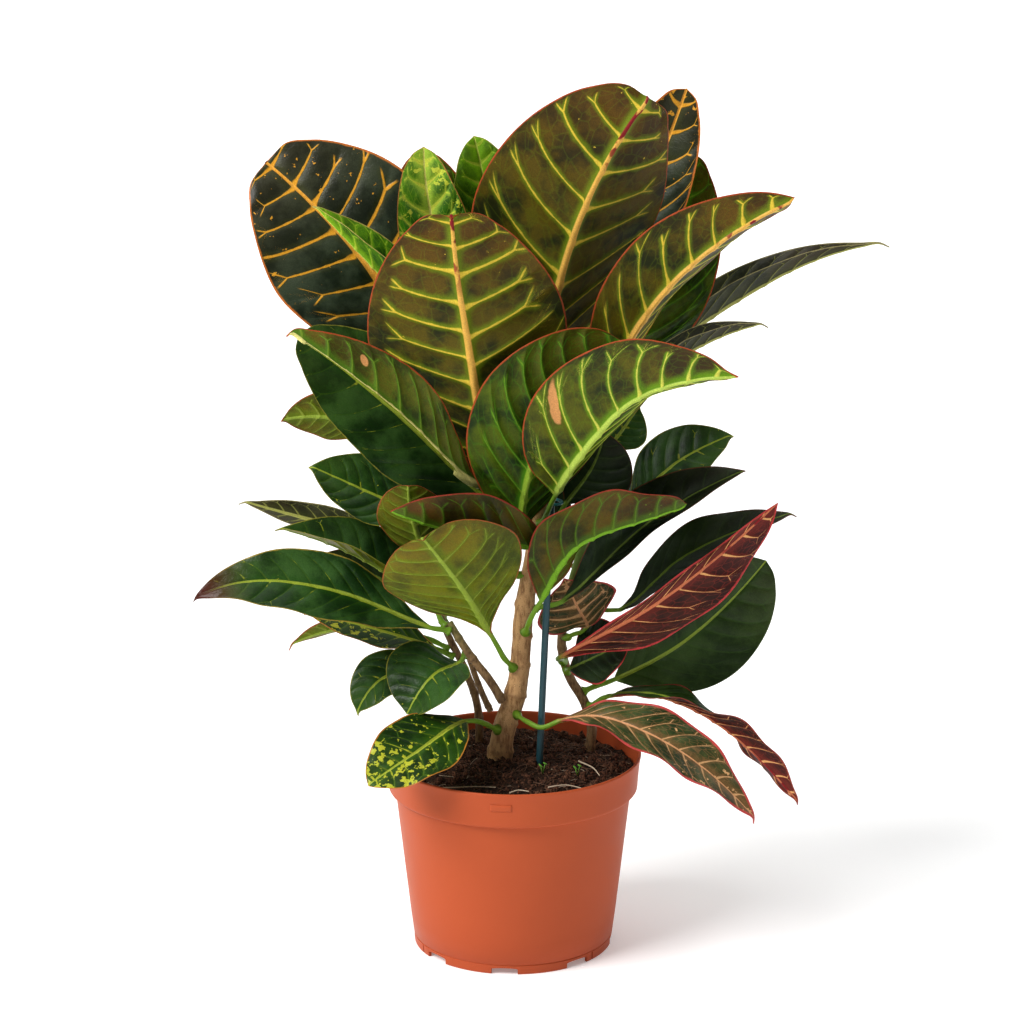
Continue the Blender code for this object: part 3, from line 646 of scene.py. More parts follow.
def double_up(lines):
    """The lines of a leaf doubled up along its midrib: its left half, and a strip that bends round behind."""
    edge, inner, top = lines[:, 0], lines[:, 1], lines[:, 2]
    ahead = np.gradient(top, axis=0)
    back = unit(np.cross(top - edge, ahead))
    back = np.where(back[:, 1:2] < 0, -back, back)
    strips = [edge.copy(), edge.copy()]
    for strip, share, depth in zip(strips, (0.18, 0.36), (2.5, 4.0)):
        strip[1:-1] += ((top - edge) * share + back * depth * MM)[1:-1]
    lines = np.stack([top, inner, edge, strips[0], strips[1]], axis=1)
    if np.dot(np.cross(lines[5, 4] - lines[5, 0], ahead[5]), back[5]) < 0:
        lines = lines[:, ::-1]
    return lines


def rows_along(veins, chance):
    """Where the blade's rows of points lie along it, and each row's phase, which is whole on a vein."""
    places = np.sort((np.arange(veins) + 0.55 + chance.uniform(-0.08, 0.08, veins)) / (veins + 0.35))
    phase_at = np.concatenate([[0.0], places, [1.0]])
    phase = np.concatenate([[-0.1], np.arange(1, veins + 1), [veins + 0.75]])
    wanted = [0.02, 0.3, 0.55, 0.75]
    wanted += [k + row for k in range(1, veins + 1) for row in VEIN_ROWS]
    wanted = np.array(sorted(x for x in set(wanted) if x < veins + 0.7))
    rows = np.interp(wanted, phase, phase_at)
    rows = np.unique(np.concatenate([[0.0, 0.006, 0.015, 0.03], rows, [0.975, 0.988, 0.996, 1.0]]))
    return rows, np.interp(rows, phase_at, phase)


def petiole(foot, first):
    """Sections of the leaf's stalk, from inside its stem up to the blade's first section."""
    centres = foot.mean(axis=1)
    start = centres[0] + unit(centres[0] - centres[1]) * PETIOLE_INSIDE
    path = np.concatenate([[start], centres])
    size = np.linalg.norm(foot - centres[:, None], axis=2).mean(axis=1)
    size = np.concatenate([[size[0] * 1.35], size])
    run = np.concatenate([[0], np.cumsum(np.linalg.norm(np.diff(path, axis=0), axis=1))])
    table = np.concatenate([path, size[:, None]], axis=1)[:, None]
    fine = smooth_lines(run / run[-1], table, PETIOLE_ROWS)[:, 0]
    middle = first.mean(axis=0)
    shape = (first - middle) / size[-1]
    ahead = unit(np.gradient(fine[:, :3], axis=0))
    sections = []
    for k in range(len(fine) - 1):
        turn = np.array(Vector(ahead[-1]).rotation_difference(Vector(ahead[k])).to_matrix())
        swollen = 1 + 0.35 * math.exp(-k / 1.2)
        sections.append(fine[k, :3] + shape @ turn.T * fine[k, 3] * swollen)
    sections = np.array(sections)
    sections += (middle - fine[-1, :3]) * np.linspace(0, 1, len(fine))[:-1, None, None]
    return sections


def ridge(distance, width):
    """A rounded ridge: 1 on its line, dying away on both sides of it."""
    return np.exp(-((distance / width) ** 2))


def blade(
    node, skin, veins=8, sweep=0.38, quilt=0.8, wave=0.6, waves=3.0, seed=0, notch=0.0, point=2.0,
    rib=1.5, wide=(1.0, 1.0), doubled=False,
):
    """Lays a fine leaf over the solid of a CAD node.

    veins and sweep set the side veins and how far they lean to the tip, quilt how far the flesh swells
    between them, in millimetres, wave and waves the height and number of the margin's waves, notch a dent in
    the tip, point how far a sharp tip stands out, rib the midrib's depth, and wide how much of the solid's
    width the left and the right half take up. A doubled leaf is folded shut along its midrib.
    """
    chance = np.random.default_rng(seed + 17)
    rings, tip = leaf_rings(node)
    foot, body = rings[: BLADE_START + 1], rings[BLADE_START:]
    radius = np.linalg.norm(body[0] - body[0].mean(axis=0), axis=1).mean()
    lines = five_lines(body, tip, radius, point, wide)
    if doubled:
        lines = double_up(lines)
    spans = np.linalg.norm(np.diff(lines, axis=0), axis=2)
    length = spans[:, 2].sum()
    knots = np.concatenate([[0], np.cumsum(spans.mean(axis=1))])
    dense = smooth_lines(knots / knots[-1], lines, DENSE)

    # Rows of points run out from the midrib along the veins: w is a row's place on the midrib, v each point's
    rows, row_phase = rows_along(veins, chance)
    across = np.concatenate([-np.array(ACROSS[:0:-1]), ACROSS])
    w = rows[:, None]
    out = np.abs(across)[None, :]
    lean = sweep * (1 - w) ** 0.85 * (1 - np.exp(-w / 0.05)) * (0.72 * out + 0.28 * out**2.5)
    offset = SIDE_OFFSET / veins * np.clip(out / 0.045, 0, 1) * np.sign(across)[None, :]
    v = np.clip(w + lean + offset * np.minimum(1, 8 * w) * (1 - w), 0, 1)

    spot = v * (DENSE - 1)
    low = np.clip(spot.astype(int), 0, DENSE - 2)
    part = (spot - low)[..., None, None]
    rails = dense[low] * (1 - part) + dense[low + 1] * part
    o = out[..., None]
    right = (across >= 0)[None, :, None]
    middle = rails[:, :, 2]
    inner = np.where(right, rails[:, :, 3], rails[:, :, 1])
    outer = np.where(right, rails[:, :, 4], rails[:, :, 0])
    surface = middle * (2 * o**2 - 3 * o + 1) + inner * (4 * o - 4 * o**2) + outer * (2 * o**2 - o)
    half = np.linalg.norm(inner - middle, axis=2) + np.linalg.norm(outer - inner, axis=2)

    # Which way the upper face looks
    sides = unit(dense[:, 4] - dense[:, 0])
    sides[:3] = sides[3]
    sides[-12:] = sides[-13]
    sides = sides[low]
    tangent = unit(np.gradient(dense[:, 2], axis=0))[low]
    middle_up = unit(np.cross(sides, tangent))
    slope_in = np.where(right, unit(inner - middle), unit(middle - inner))
    slope_out = np.where(right, unit(outer - inner), unit(inner - outer))
    normal = unit(np.cross(unit(slope_in * (1 - o) + slope_out * o), tangent))
    normal = np.where(np.sum(normal * middle_up, axis=2, keepdims=True) < 0, -normal, normal)
    near_end = np.clip((1 - v) / END_SHARE, 0, 1) * np.clip(v / END_SHARE, 0, 1)
    normal = unit(normal * near_end[..., None] + middle_up * (1 - near_end[..., None]))

    # The flesh swells between the veins, and the margin waves
    from_vein = np.abs(row_phase - np.round(row_phase))[:, None]
    swell = quilt * MM * (1 - (1 - from_vein * 2) ** 2) * np.clip(out / 0.08, 0, 1)
    swell = swell * np.clip((1 - out) / 0.25, 0, 1) * near_end * np.clip(half / (25 * MM), 0.15, 1)
    start = chance.uniform(0, 2 * np.pi, 2)[(across > 0).astype(int)][None, :]
    margin = wave * MM * out**3 * np.sin(2 * np.pi * waves * v + start) * near_end
    margin = margin * np.clip(half / (15 * MM), 0, 1)
    top = surface + normal * (swell + margin)[..., None]
    if notch:
        dent = ridge(across * half, 5 * MM) * np.clip((v - 0.9) / 0.1, 0, 1) * notch * MM
        top = top - tangent * dent[..., None]

    # Midrib and veins stand out below and lie in grooves above
    rib_wide = (0.8 + 1.0 * (1 - v)) * MM * rib / 1.5
    rib_deep = rib * MM * (1 - 0.8 * v) * ridge(out * half, rib_wide)
    groove = GROOVE * (1 - 0.7 * v) * ridge(out * half, rib_wide * 0.6)
    vein_deep = VEIN_DEPTH * ridge(from_vein, VEIN_WIDTH) * np.clip((1 - out) / 0.3, 0, 1) * near_end
    vein_deep = vein_deep * np.clip(half / (18 * MM), 0, 1)
    below = top - normal * (THICK * (1 - 0.6 * out**2) + rib_deep + vein_deep)[..., None]
    top = top - normal * (groove + 0.25 * vein_deep)[..., None]

    # The round foot of the blade runs into the flat blade
    foot_share = np.clip(1 - v / FOOT_SHARE, 0, 1)[..., None]
    ease = foot_share**2 * (3 - 2 * foot_share)
    angle = np.pi * (1 - across) / 2
    centre = middle - middle_up * radius * 0.4
    stalk = radius * (1 - 0.2 * v[..., None])
    reach = sides * np.cos(angle)[None, :, None]
    rise = middle_up * np.sin(angle)[None, :, None]
    top = top * (1 - ease) + (centre + stalk * (reach + rise)) * ease
    below = below * (1 - ease) + (centre + stalk * (reach - rise)) * ease
    sections = np.concatenate([top, below[:, -2:0:-1]], axis=1)
    stem_sections = petiole(foot, sections[0])
    every = np.concatenate([stem_sections, sections])
    mesh = grid_mesh(node, every)

    def spread(values, stalk_value):
        """A blade's values for every point of the mesh: both faces, the stalk and the two closing points."""
        table = np.concatenate([values, values[:, -2:0:-1]], axis=1)
        table = np.concatenate([np.full((len(stem_sections), table.shape[1]), stalk_value), table])
        return np.concatenate([table.ravel(), [stalk_value, table[-1, 0]]])

    columns = len(across)
    under = np.concatenate([np.zeros(columns), np.ones(columns - 2)])
    under[[0, columns - 1]] = 0.5
    marks = {
        "edge": spread(np.clip((1 - out) * half, 0, 1) + 0.003 * ease[..., 0], 0.02),
        "rib": spread(out * half, 0.0),
        "across": spread(np.broadcast_to(across[None, :], v.shape), 0.0),
        "tint": spread(np.full(v.shape, seed / 7.0), seed / 7.0),
        "along": spread(v, -0.05),
        "phase": spread(np.broadcast_to(row_phase[:, None], v.shape), 0.5),
        "spacing": spread(np.full(v.shape, length / veins), length / veins),
        "under": np.concatenate([np.tile(under, len(every)), [0.5, 0.5]]),
    }
    for name, values in marks.items():
        mesh.attributes.new(name, "FLOAT", "POINT").data.foreach_set("value", values.astype(np.float32))
    return put(node, mesh, SKINS[skin], [node])


def build_leaves():
    # The crown
    blade("leaf_top_centre", "crown leaf", 9, 0.31, 1.3, 1.2, 2.5, point=1, rib=2.4, seed=1)
    blade("leaf_top_left", "ember leaf", 10, 0.22, 1.5, 1.2, 3, point=0, seed=2, rib=2)
    blade("leaf_upper_front", "crown leaf", 10, 0.23, 1.3, 1.0, 3, point=0, notch=2.5, rib=2.4, seed=3)
    blade("leaf_young_tall", "young leaf", 7, 0.40, 1.0, 0.8, seed=4)
    blade("leaf_young_back", "fresh leaf", 8, 0.40, 1.0, 0.8, seed=5)
    blade("leaf_young_folded", "fresh leaf", 8, 0.30, 0.5, 0.6, seed=6)
    blade("leaf_behind_young", "quilted leaf", 8, seed=7)
    blade("leaf_top_right", "ember leaf", 8, seed=8)
    blade("leaf_upright_right", "quilted leaf", 9, seed=9)
    blade("leaf_right_upper", "crown leaf", 9, 0.27, 1.0, 0.8, rib=1.9, seed=10, point=3)
    blade("leaf_right_long", "slate leaf", 11, 0.24, 0.5, seed=11, point=5)
    blade("leaf_right_narrow", "slate leaf", 9, 0.24, 0.5, seed=12, point=4)
    blade("leaf_front_star", "star leaf", 9, 0.29, 1.3, 0.8, rib=2.2, point=5, seed=13)
    blade("leaf_front_inner", "quilted leaf", 9, 0.38, 1.5, 0.8, rib=1.9, seed=14)
    blade("leaf_left_folded", "folded leaf", 9, 0.30, 1.3, 0.8, rib=1.9, seed=15, point=4, doubled=True)
    blade("leaf_left_glossy", "green leaf", 9, 0.34, 0.7, 1.0, seed=16)
    blade("leaf_inner_dark", "shade leaf", 7, quilt=0.4, seed=17)
    # The left side
    blade("leaf_left_small", "olive leaf", 7, quilt=0.5, seed=20, point=3)
    blade("leaf_left_middle", "green leaf", 8, seed=21, point=3)
    blade("leaf_left_rounded", "olive leaf", 7, quilt=0.6, seed=22, point=0)
    blade("leaf_front_cupped", "moss leaf", 8, 0.34, 1.0, seed=23, rib=1.6)
    blade("leaf_front_left", "olive leaf", 9, 0.36, 0.8, 1.0, seed=24, notch=2.5, point=0, rib=1.9)
    blade("leaf_left_lance", "lance leaf", 11, 0.26, 0.8, 1.2, 4, seed=25, point=5, wide=(0.85, 0.85))
    blade("leaf_left_channelled", "green leaf", 9, 0.26, 0.6, seed=26, point=4)
    blade("leaf_left_far", "slate leaf", 9, 0.26, 0.4, seed=27, point=4)
    blade("leaf_left_inner", "shade leaf", 7, seed=28)
    blade("leaf_low_left_mottled", "mottled leaf", 8, 0.3, 0.5, seed=29, point=3)
    blade("leaf_low_left_narrow", "olive leaf", 7, 0.26, 0.4, seed=30, point=4)
    blade("leaf_low_left_drooping", "green leaf", 7, seed=31, point=4)
    blade("leaf_low_left_curled", "green leaf", 7, seed=32, quilt=0.5)
    blade("leaf_over_rim", "mottled leaf", 8, 0.32, 0.7, 1.2, seed=33)
    # The right side
    blade("leaf_right_curled", "moss leaf", 9, 0.32, 0.9, 2.2, 3, seed=40, rib=1.8)
    blade("leaf_right_lance", "shade leaf", 9, 0.28, 0.5, seed=41, point=4)
    blade("leaf_right_dark", "green leaf", 8, 0.34, 0.6, seed=42, point=3)
    blade("leaf_right_inner", "green leaf", 7, seed=43)
    blade("leaf_right_long_low", "shade leaf", 9, 0.26, 0.5, 1.2, seed=44, point=4)
    blade("leaf_right_red", "maroon leaf", 10, 0.30, 0.9, 2.5, seed=45, rib=0.8, point=4,
          wide=(1.05, 0.3))
    blade("leaf_red_inner", "maroon leaf", 7, seed=46, wide=(1.4, 1.4))
    blade("leaf_right_round", "plain leaf", 9, 0.36, 0.45, 1.0, seed=47)
    blade("leaf_low_right_twisted", "twisted leaf", 11, 0.26, 0.9, 2.0, 4, seed=48)
    blade("leaf_low_right_pink", "rose leaf", 11, 0.26, 0.9, 1.6, 4, seed=49, point=4)
    blade("leaf_inner_streaked", "rose leaf", 7, seed=50, wide=(1.5, 1.5))
    # The back
    blade("leaf_back_middle", "shade leaf", 8, seed=60)
    blade("leaf_back_high", "ember leaf", 9, seed=61)
    blade("leaf_back_left", "green leaf", 9, seed=62)
    blade("leaf_back_right", "green leaf", 8, seed=63)
    blade("leaf_back_low", "mottled leaf", 8, seed=64)


# ---------------------------------------------------------------- pot

POT_STEPS = 240
NOTCH_ANGLE = math.radians(7.6)  # half of a drain notch's width, seen from the pot's middle
SLIT_ANGLE = math.radians(0.45)
NUDGES = (-0.0006, 0.0006)  # a cut's wall stands between two angles this far either side of its edge
NOTCHES = 8
NOTCH_TURN = math.radians(-5)
FLOOR_UNDERSIDE = 5.0  # millimetres
PROFILE_HEIGHT = 116.0
POT_PROFILE = [  # millimetres: radius, height, from inside the foot, out, up, over the rim and down inside
    (56.5, 0.0), (57.7, 0.0), (58.15, 0.15), (58.3, 0.5), (58.4, 2.0), (58.5, 4.4), (58.52, 5.2),
    (58.2, 5.45), (58.25, 5.7), (58.75, 6.2),  # the groove over the foot ring
    (60.3, 18.0), (62.8, 40.0), (65.3, 62.0), (67.6, 82.0), (68.8, 92.2), (69.0, 93.6), (69.1, 94.4),
    (69.6, 94.8), (71.4, 94.9), (72.3, 95.1), (72.75, 95.7), (72.9, 96.8), (73.15, 101.0), (73.9, 109.0),
    (74.45, 113.6), (74.75, 114.4), (74.85, 115.1), (74.7, 115.7), (74.2, 116.0), (73.6, 115.9),  # the rim
    (73.2, 115.3), (73.0, 113.5), (72.2, 106.0), (71.2, 98.8), (70.6, 97.4), (68.2, 95.8), (67.2, 93.5),
    (64.3, 70.0), (60.3, 35.0), (57.5, 10.0), (56.9, 7.3),
    (55.8, 7.0), (0.0, 7.0), (0.0, 5.0), (55.9, 5.0), (56.4, 4.4),  # the floor
]
SLITS = (-64, 52, 128, -116)  # degrees from the front, beside some of the notches


def notch_height(angle):
    """How high, in millimetres, notches and slits cut the foot away at an angle from the front."""
    pitch = 2 * math.pi / NOTCHES
    near = (angle - NOTCH_TURN + pitch / 2) % pitch - pitch / 2
    if abs(near) < NOTCH_ANGLE:
        return 3.0 + 0.9 * math.sqrt(1 - (near / NOTCH_ANGLE) ** 2)
    from_slits = [(angle - math.radians(slit) + math.pi) % (2 * math.pi) - math.pi for slit in SLITS]
    return FLOOR_UNDERSIDE if min(map(abs, from_slits)) < SLIT_ANGLE else 0.0


def round_pot(angle, radius, height):
    """A point at an angle from the pot's front, and at a radius and a height in metres."""
    return (POT_X + radius * math.sin(angle), POT_Y - radius * math.cos(angle), height)


def face_outward(mesh, weld=None):
    """Turns a closed mesh's faces outward, once points nearer than weld are made one."""
    work = bmesh.new()
    work.from_mesh(mesh)
    if weld:
        bmesh.ops.remove_doubles(work, verts=work.verts, dist=weld)
    bmesh.ops.recalc_face_normals(work, faces=work.faces)
    work.to_mesh(mesh)
    work.free()


def build_pot():
    """The pot, turned from its profile, with its notches and slits cut in its foot."""
    cuts = [(NOTCH_TURN + k * 2 * math.pi / NOTCHES, NOTCH_ANGLE) for k in range(NOTCHES)]
    cuts += [(math.radians(slit), SLIT_ANGLE) for slit in SLITS]
    edges = [turn + sign * (half + nudge) for turn, half in cuts for sign in (-1, 1) for nudge in NUDGES]
    even = [2 * math.pi * k / POT_STEPS for k in range(POT_STEPS)]
    sections = []
    for angle in sorted(even + [edge % (2 * math.pi) for edge in edges]):
        cut = notch_height(angle)
        ring = []
        for radius, height in POT_PROFILE:
            lifted = max(height, cut) if radius > 50 and height < FLOOR_UNDERSIDE else height
            wobble = 1 + 0.0012 * math.sin(2 * angle + 0.7) * height / PROFILE_HEIGHT
            ring.append(round_pot(angle, radius * MM * wobble, lifted * POT_HEIGHT / PROFILE_HEIGHT))
        sections.append(ring)
    mesh = grid_mesh("pot", np.array(sections + sections[:1]), closed_ends=False)
    face_outward(mesh, weld=0.002 * MM)
    plastic = terracotta_plastic()
    put("pot", mesh, plastic, ["pot"])
    mesh.set_sharp_from_angle(angle=math.radians(50))
    build_tab(plastic)


def build_tab(plastic):
    """The bare raised tab on the front of the rim band, with softened edges."""
    heights = np.linspace(105.2, 109.4, 5)
    angles = np.radians(np.linspace(-10.2, -0.6, 17))
    sections = []
    for angle in angles:
        ring = []
        for height in heights:
            edge = height in (heights[0], heights[-1]) or angle in (angles[0], angles[-1])
            stand = 0.30 if edge else 0.55
            ring.append(round_pot(angle, (band_radius(height) + stand) * MM, height * MM))
        for height in heights[::-1]:
            ring.append(round_pot(angle, (band_radius(height) - 0.5) * MM, height * MM))
        sections.append(ring)
    mesh = grid_mesh("rim_tab", np.array(sections))
    face_outward(mesh)
    put("rim_tab", mesh, plastic, None)


def band_radius(height):
    """The rim band's radius at a height, both in millimetres."""
    return 72.8 + (height - 99.2) * 0.115


# ---------------------------------------------------------------- soil

SOIL_RADIUS = 70.5 * MM
SOIL_KNOWN = 66 * MM  # further out, the soil is as high as it is here
PEAT = peat("peat", (0.010, 0.004, 0.002), (0.060, 0.026, 0.012))
CRUMB = peat("peat crumb", (0.016, 0.006, 0.003), (0.200, 0.085, 0.045), 900.0)
PALE_ROOT = root_skin("pale root", (0.46, 0.34, 0.22), (0.66, 0.55, 0.42))
DARK_FIBRE = root_skin("dark fibre", (0.075, 0.034, 0.016), (0.17, 0.085, 0.045))


def soil_heights():
    """The soil's top in the CAD, as a function of x and y, with the holes round the stems filled."""
    data = frame["nodes"]["soil"].data
    faces = [tuple(p.vertices) for p in data.polygons]
    tree = BVHTree.FromPolygons([v.co.copy() for v in data.vertices], faces)
    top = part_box("soil")[1][2]
    around = [(9, 0), (-9, 0), (0, 9), (0, -9), (6, 6), (-6, 6), (6, -6), (-6, -6)]

    def seen_from_above(x, y):
        hit = tree.ray_cast(Vector((x, y, top + 50 * MM)), Vector((0, 0, -1)))[0]
        return hit.z if hit and hit.z > top - 16 * MM else None

    def height(x, y):
        found = seen_from_above(x, y)
        if found is not None:
            return found
        beside = [seen_from_above(x + dx * MM, y + dy * MM) for dx, dy in around]
        beside = [z for z in beside if z is not None]
        return sum(beside) / len(beside) if beside else top - 9 * MM

    return height


def build_soil():
    """The heap of peat, with clods, crumbs and fibres strewn over it. Returns its height as a function."""
    height = soil_heights()
    rings, sides = 64, 150
    turns = [2 * math.pi * i / sides for i in range(sides)]
    points = [(POT_X, POT_Y, height(POT_X, POT_Y))]
    for ring in range(1, rings + 1):
        radius = SOIL_RADIUS * (ring / rings) ** 0.9
        inside = min(radius, SOIL_KNOWN) / radius
        for turn in turns:
            dx, dy = radius * math.cos(turn), radius * math.sin(turn)
            x, y = POT_X + dx, POT_Y + dy
            lumps = land.fractal(Vector((x, y, 0)) / (9 * MM), 0.8, 2.2, 5) * 2.2 * MM
            clods = abs(land.noise(Vector((x, y, 0.3)) / (3.2 * MM))) * 1.6 * MM
            points.append((x, y, height(POT_X + dx * inside, POT_Y + dy * inside) + lumps + clods - 0.6 * MM))
    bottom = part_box("soil")[0][2]
    for radius, z in ((70.2 * MM, 100 * MM), (66.4 * MM, 95 * MM), (56 * MM, bottom)):
        points += [(POT_X + radius * math.cos(turn), POT_Y + radius * math.sin(turn), z) for turn in turns]
    points.append((POT_X, POT_Y, bottom))
    faces = []
    for i in range(sides):
        j = (i + 1) % sides
        faces.append((0, 1 + i, 1 + j))
        for ring in range(rings + 2):
            a, b = 1 + ring * sides, 1 + (ring + 1) * sides
            faces.append((a + i, b + i, b + j, a + j))
        last = 1 + (rings + 2) * sides
        faces.append((last + i, len(points) - 1, last + j))
    mesh = bpy.data.meshes.new("soil")
    mesh.from_pydata(points, [], faces)
    soil = put("soil", mesh, PEAT, ["soil"])
    crumbs = scatter_tree("peat crumbs", "lump")
    fibres = scatter_tree("peat fibres", "fibre")
    ground = top_of(soil, rings, sides)
    grow("peat_crumbs", ground, crumbs, {"Density": 150000.0, "Size": 1.25 * MM, "Seed": 3}, CRUMB)
    grow("peat_clods", ground, crumbs, {"Density": 13000.0, "Size": 3.6 * MM, "Seed": 8}, CRUMB)
    grow("peat_fibres", ground, fibres, {"Density": 30000.0, "Size": 5.0 * MM, "Seed": 5}, DARK_FIBRE)
    grow("fine_roots", ground, fibres, {"Density": 2600.0, "Size": 4.2 * MM, "Seed": 11}, PALE_ROOT)
    bpy.data.objects.remove(ground, do_unlink=True)
    return height


def top_of(soil, rings, sides):
    """A helper that holds only the soil's upper side, for things to be strewn on."""
    mesh = soil.data.copy()
    work = bmesh.new()
    work.from_mesh(mesh)
    work.verts.ensure_lookup_table()
    spare = [v for v in work.verts if v.index > (rings - 2) * sides]
    bmesh.ops.delete(work, geom=spare, context="VERTS")
    work.to_mesh(mesh)
    work.free()
    made = bpy.data.objects.new("soil top", mesh)
    bpy.context.scene.collection.objects.link(made)
    return made


def socket(tree, name, kind, value=None):
    made = tree.interface.new_socket(name, in_out="INPUT", socket_type=kind)
    if value is not None:
        made.default_value = value
    return made


TURN = 6.283  # all the way round


def scatter_tree(name, what):
    """Geometry nodes that strew lumps or bent fibres over a surface, each turned and sized by chance."""
    tree = bpy.data.node_groups.new(name, "GeometryNodeTree")
    tree.interface.new_socket("Surface", in_out="INPUT", socket_type="NodeSocketGeometry")
    socket(tree, "Density", "NodeSocketFloat", 1000.0)
    socket(tree, "Size", "NodeSocketFloat", MM)
    socket(tree, "Seed", "NodeSocketInt", 0)
    socket(tree, "Finish", "NodeSocketMaterial")
    tree.interface.new_socket("Strewn", in_out="OUTPUT", socket_type="NodeSocketGeometry")
    inputs = tree.nodes.new("NodeGroupInput").outputs
    spread = add_node(
        tree,
        "GeometryNodeDistributePointsOnFaces",
        {"Mesh": inputs["Surface"], "Density": inputs["Density"], "Seed": inputs["Seed"]},
    )
    if what == "lump":
        shape = add_node(tree, "GeometryNodeMeshIcoSphere", {"Radius": 1.0, "Subdivisions": 1}).outputs[0]
        tilt = (TURN, TURN, TURN)
        least, most = (0.35, 0.3, 0.25), (1.5, 1.1, 0.9)
    else:
        ends = {"Start": (-1.0, 0.0, 0.0), "Middle": (0.1, 0.7, 0.25), "End": (1.0, -0.1, 0.05)}
        bend = add_node(tree, "GeometryNodeCurveQuadraticBezier", {"Resolution": 7, **ends}).outputs[0]
        around = {"Resolution": 4, "Radius": 0.034}
        ring = add_node(tree, "GeometryNodeCurvePrimitiveCircle", around).outputs[0]
        shape = add_node(
            tree, "GeometryNodeCurveToMesh", {"Curve": bend, "Profile Curve": ring, "Fill Caps": True}
        ).outputs[0]
        tilt = (0.45, 0.45, TURN)
        least, most = (0.35, 0.3, 0.6), (1.5, 1.6, 1.4)
    turned = add_node(
        tree,
        "FunctionNodeRandomValue",
        {0: tuple(-t / 2 for t in tilt), 1: tuple(t / 2 for t in tilt), "Seed": inputs["Seed"]},
        data_type="FLOAT_VECTOR",
    ).outputs[0]
    turned = add_node(tree, "FunctionNodeEulerToRotation", {0: turned}).outputs[0]
    sized = add_node(
        tree,
        "FunctionNodeRandomValue",
        {0: least, 1: most, "Seed": sums(tree, "ADD", inputs["Seed"], 7.0)},
        data_type="FLOAT_VECTOR",
    ).outputs[0]
    sized = vector_sums(tree, "SCALE", sized, inputs["Size"])
    strewn = add_node(
        tree,
        "GeometryNodeInstanceOnPoints",
        {"Points": spread.outputs[0], "Instance": shape, "Rotation": turned, "Scale": sized},
    ).outputs[0]
    strewn = add_node(tree, "GeometryNodeRealizeInstances", {0: strewn}).outputs[0]
    if what == "lump":
        place = add_node(tree, "GeometryNodeInputPosition").outputs[0]
        inputs_of_noise = {"Vector": place, "Scale": 700.0, "Detail": 1.0}
        rough = add_node(tree, "ShaderNodeTexNoise", inputs_of_noise).outputs["Color"]
        rough = vector_sums(tree, "SUBTRACT", rough, (0.5, 0.5, 0.5))
        rough = vector_sums(tree, "SCALE", rough, sums(tree, "MULTIPLY", inputs["Size"], 1.5))
        strewn = add_node(tree, "GeometryNodeSetPosition", {"Geometry": strewn, "Offset": rough}).outputs[0]
    finished = {"Geometry": strewn, "Material": inputs["Finish"]}
    done = add_node(tree, "GeometryNodeSetMaterial", finished).outputs[0]
    tree.links.new(done, tree.nodes.new("NodeGroupOutput").inputs[0])
    return tree


def grow(name, ground, tree, values, finish, nodes=None):
    """Runs geometry nodes on an object's mesh and makes a piece of what they give."""
    modifier = ground.modifiers.new(name, "NODES")
    modifier.node_group = tree
    for item in tree.interface.items_tree:
        if item.item_type != "SOCKET" or item.in_out != "INPUT":
            continue
        if item.name in values:
            modifier[item.identifier] = values[item.name]
        if item.socket_type == "NodeSocketMaterial":
            modifier[item.identifier] = finish
    bpy.context.view_layer.update()
    mesh = bpy.data.meshes.new_from_object(ground.evaluated_get(bpy.context.evaluated_depsgraph_get()))
    ground.modifiers.remove(modifier)
    mesh.name = name
    return put(name, mesh, finish, nodes)


# ---------------------------------------------------------------- stems, stake and tie


def stem_line(node, count):
    """Centre and radius of each ring of a CAD stem, from its foot up. count is how many points a ring has."""
    points, _ = solid_of(node)
    order = points[np.argsort(points[:, 2])]
    rings = order[: len(order) // count * count].reshape(-1, count, 3)
    centres = rings.mean(axis=1)
    radii = np.linalg.norm(rings - centres[:, None], axis=2).mean(axis=1)
    return centres, radii


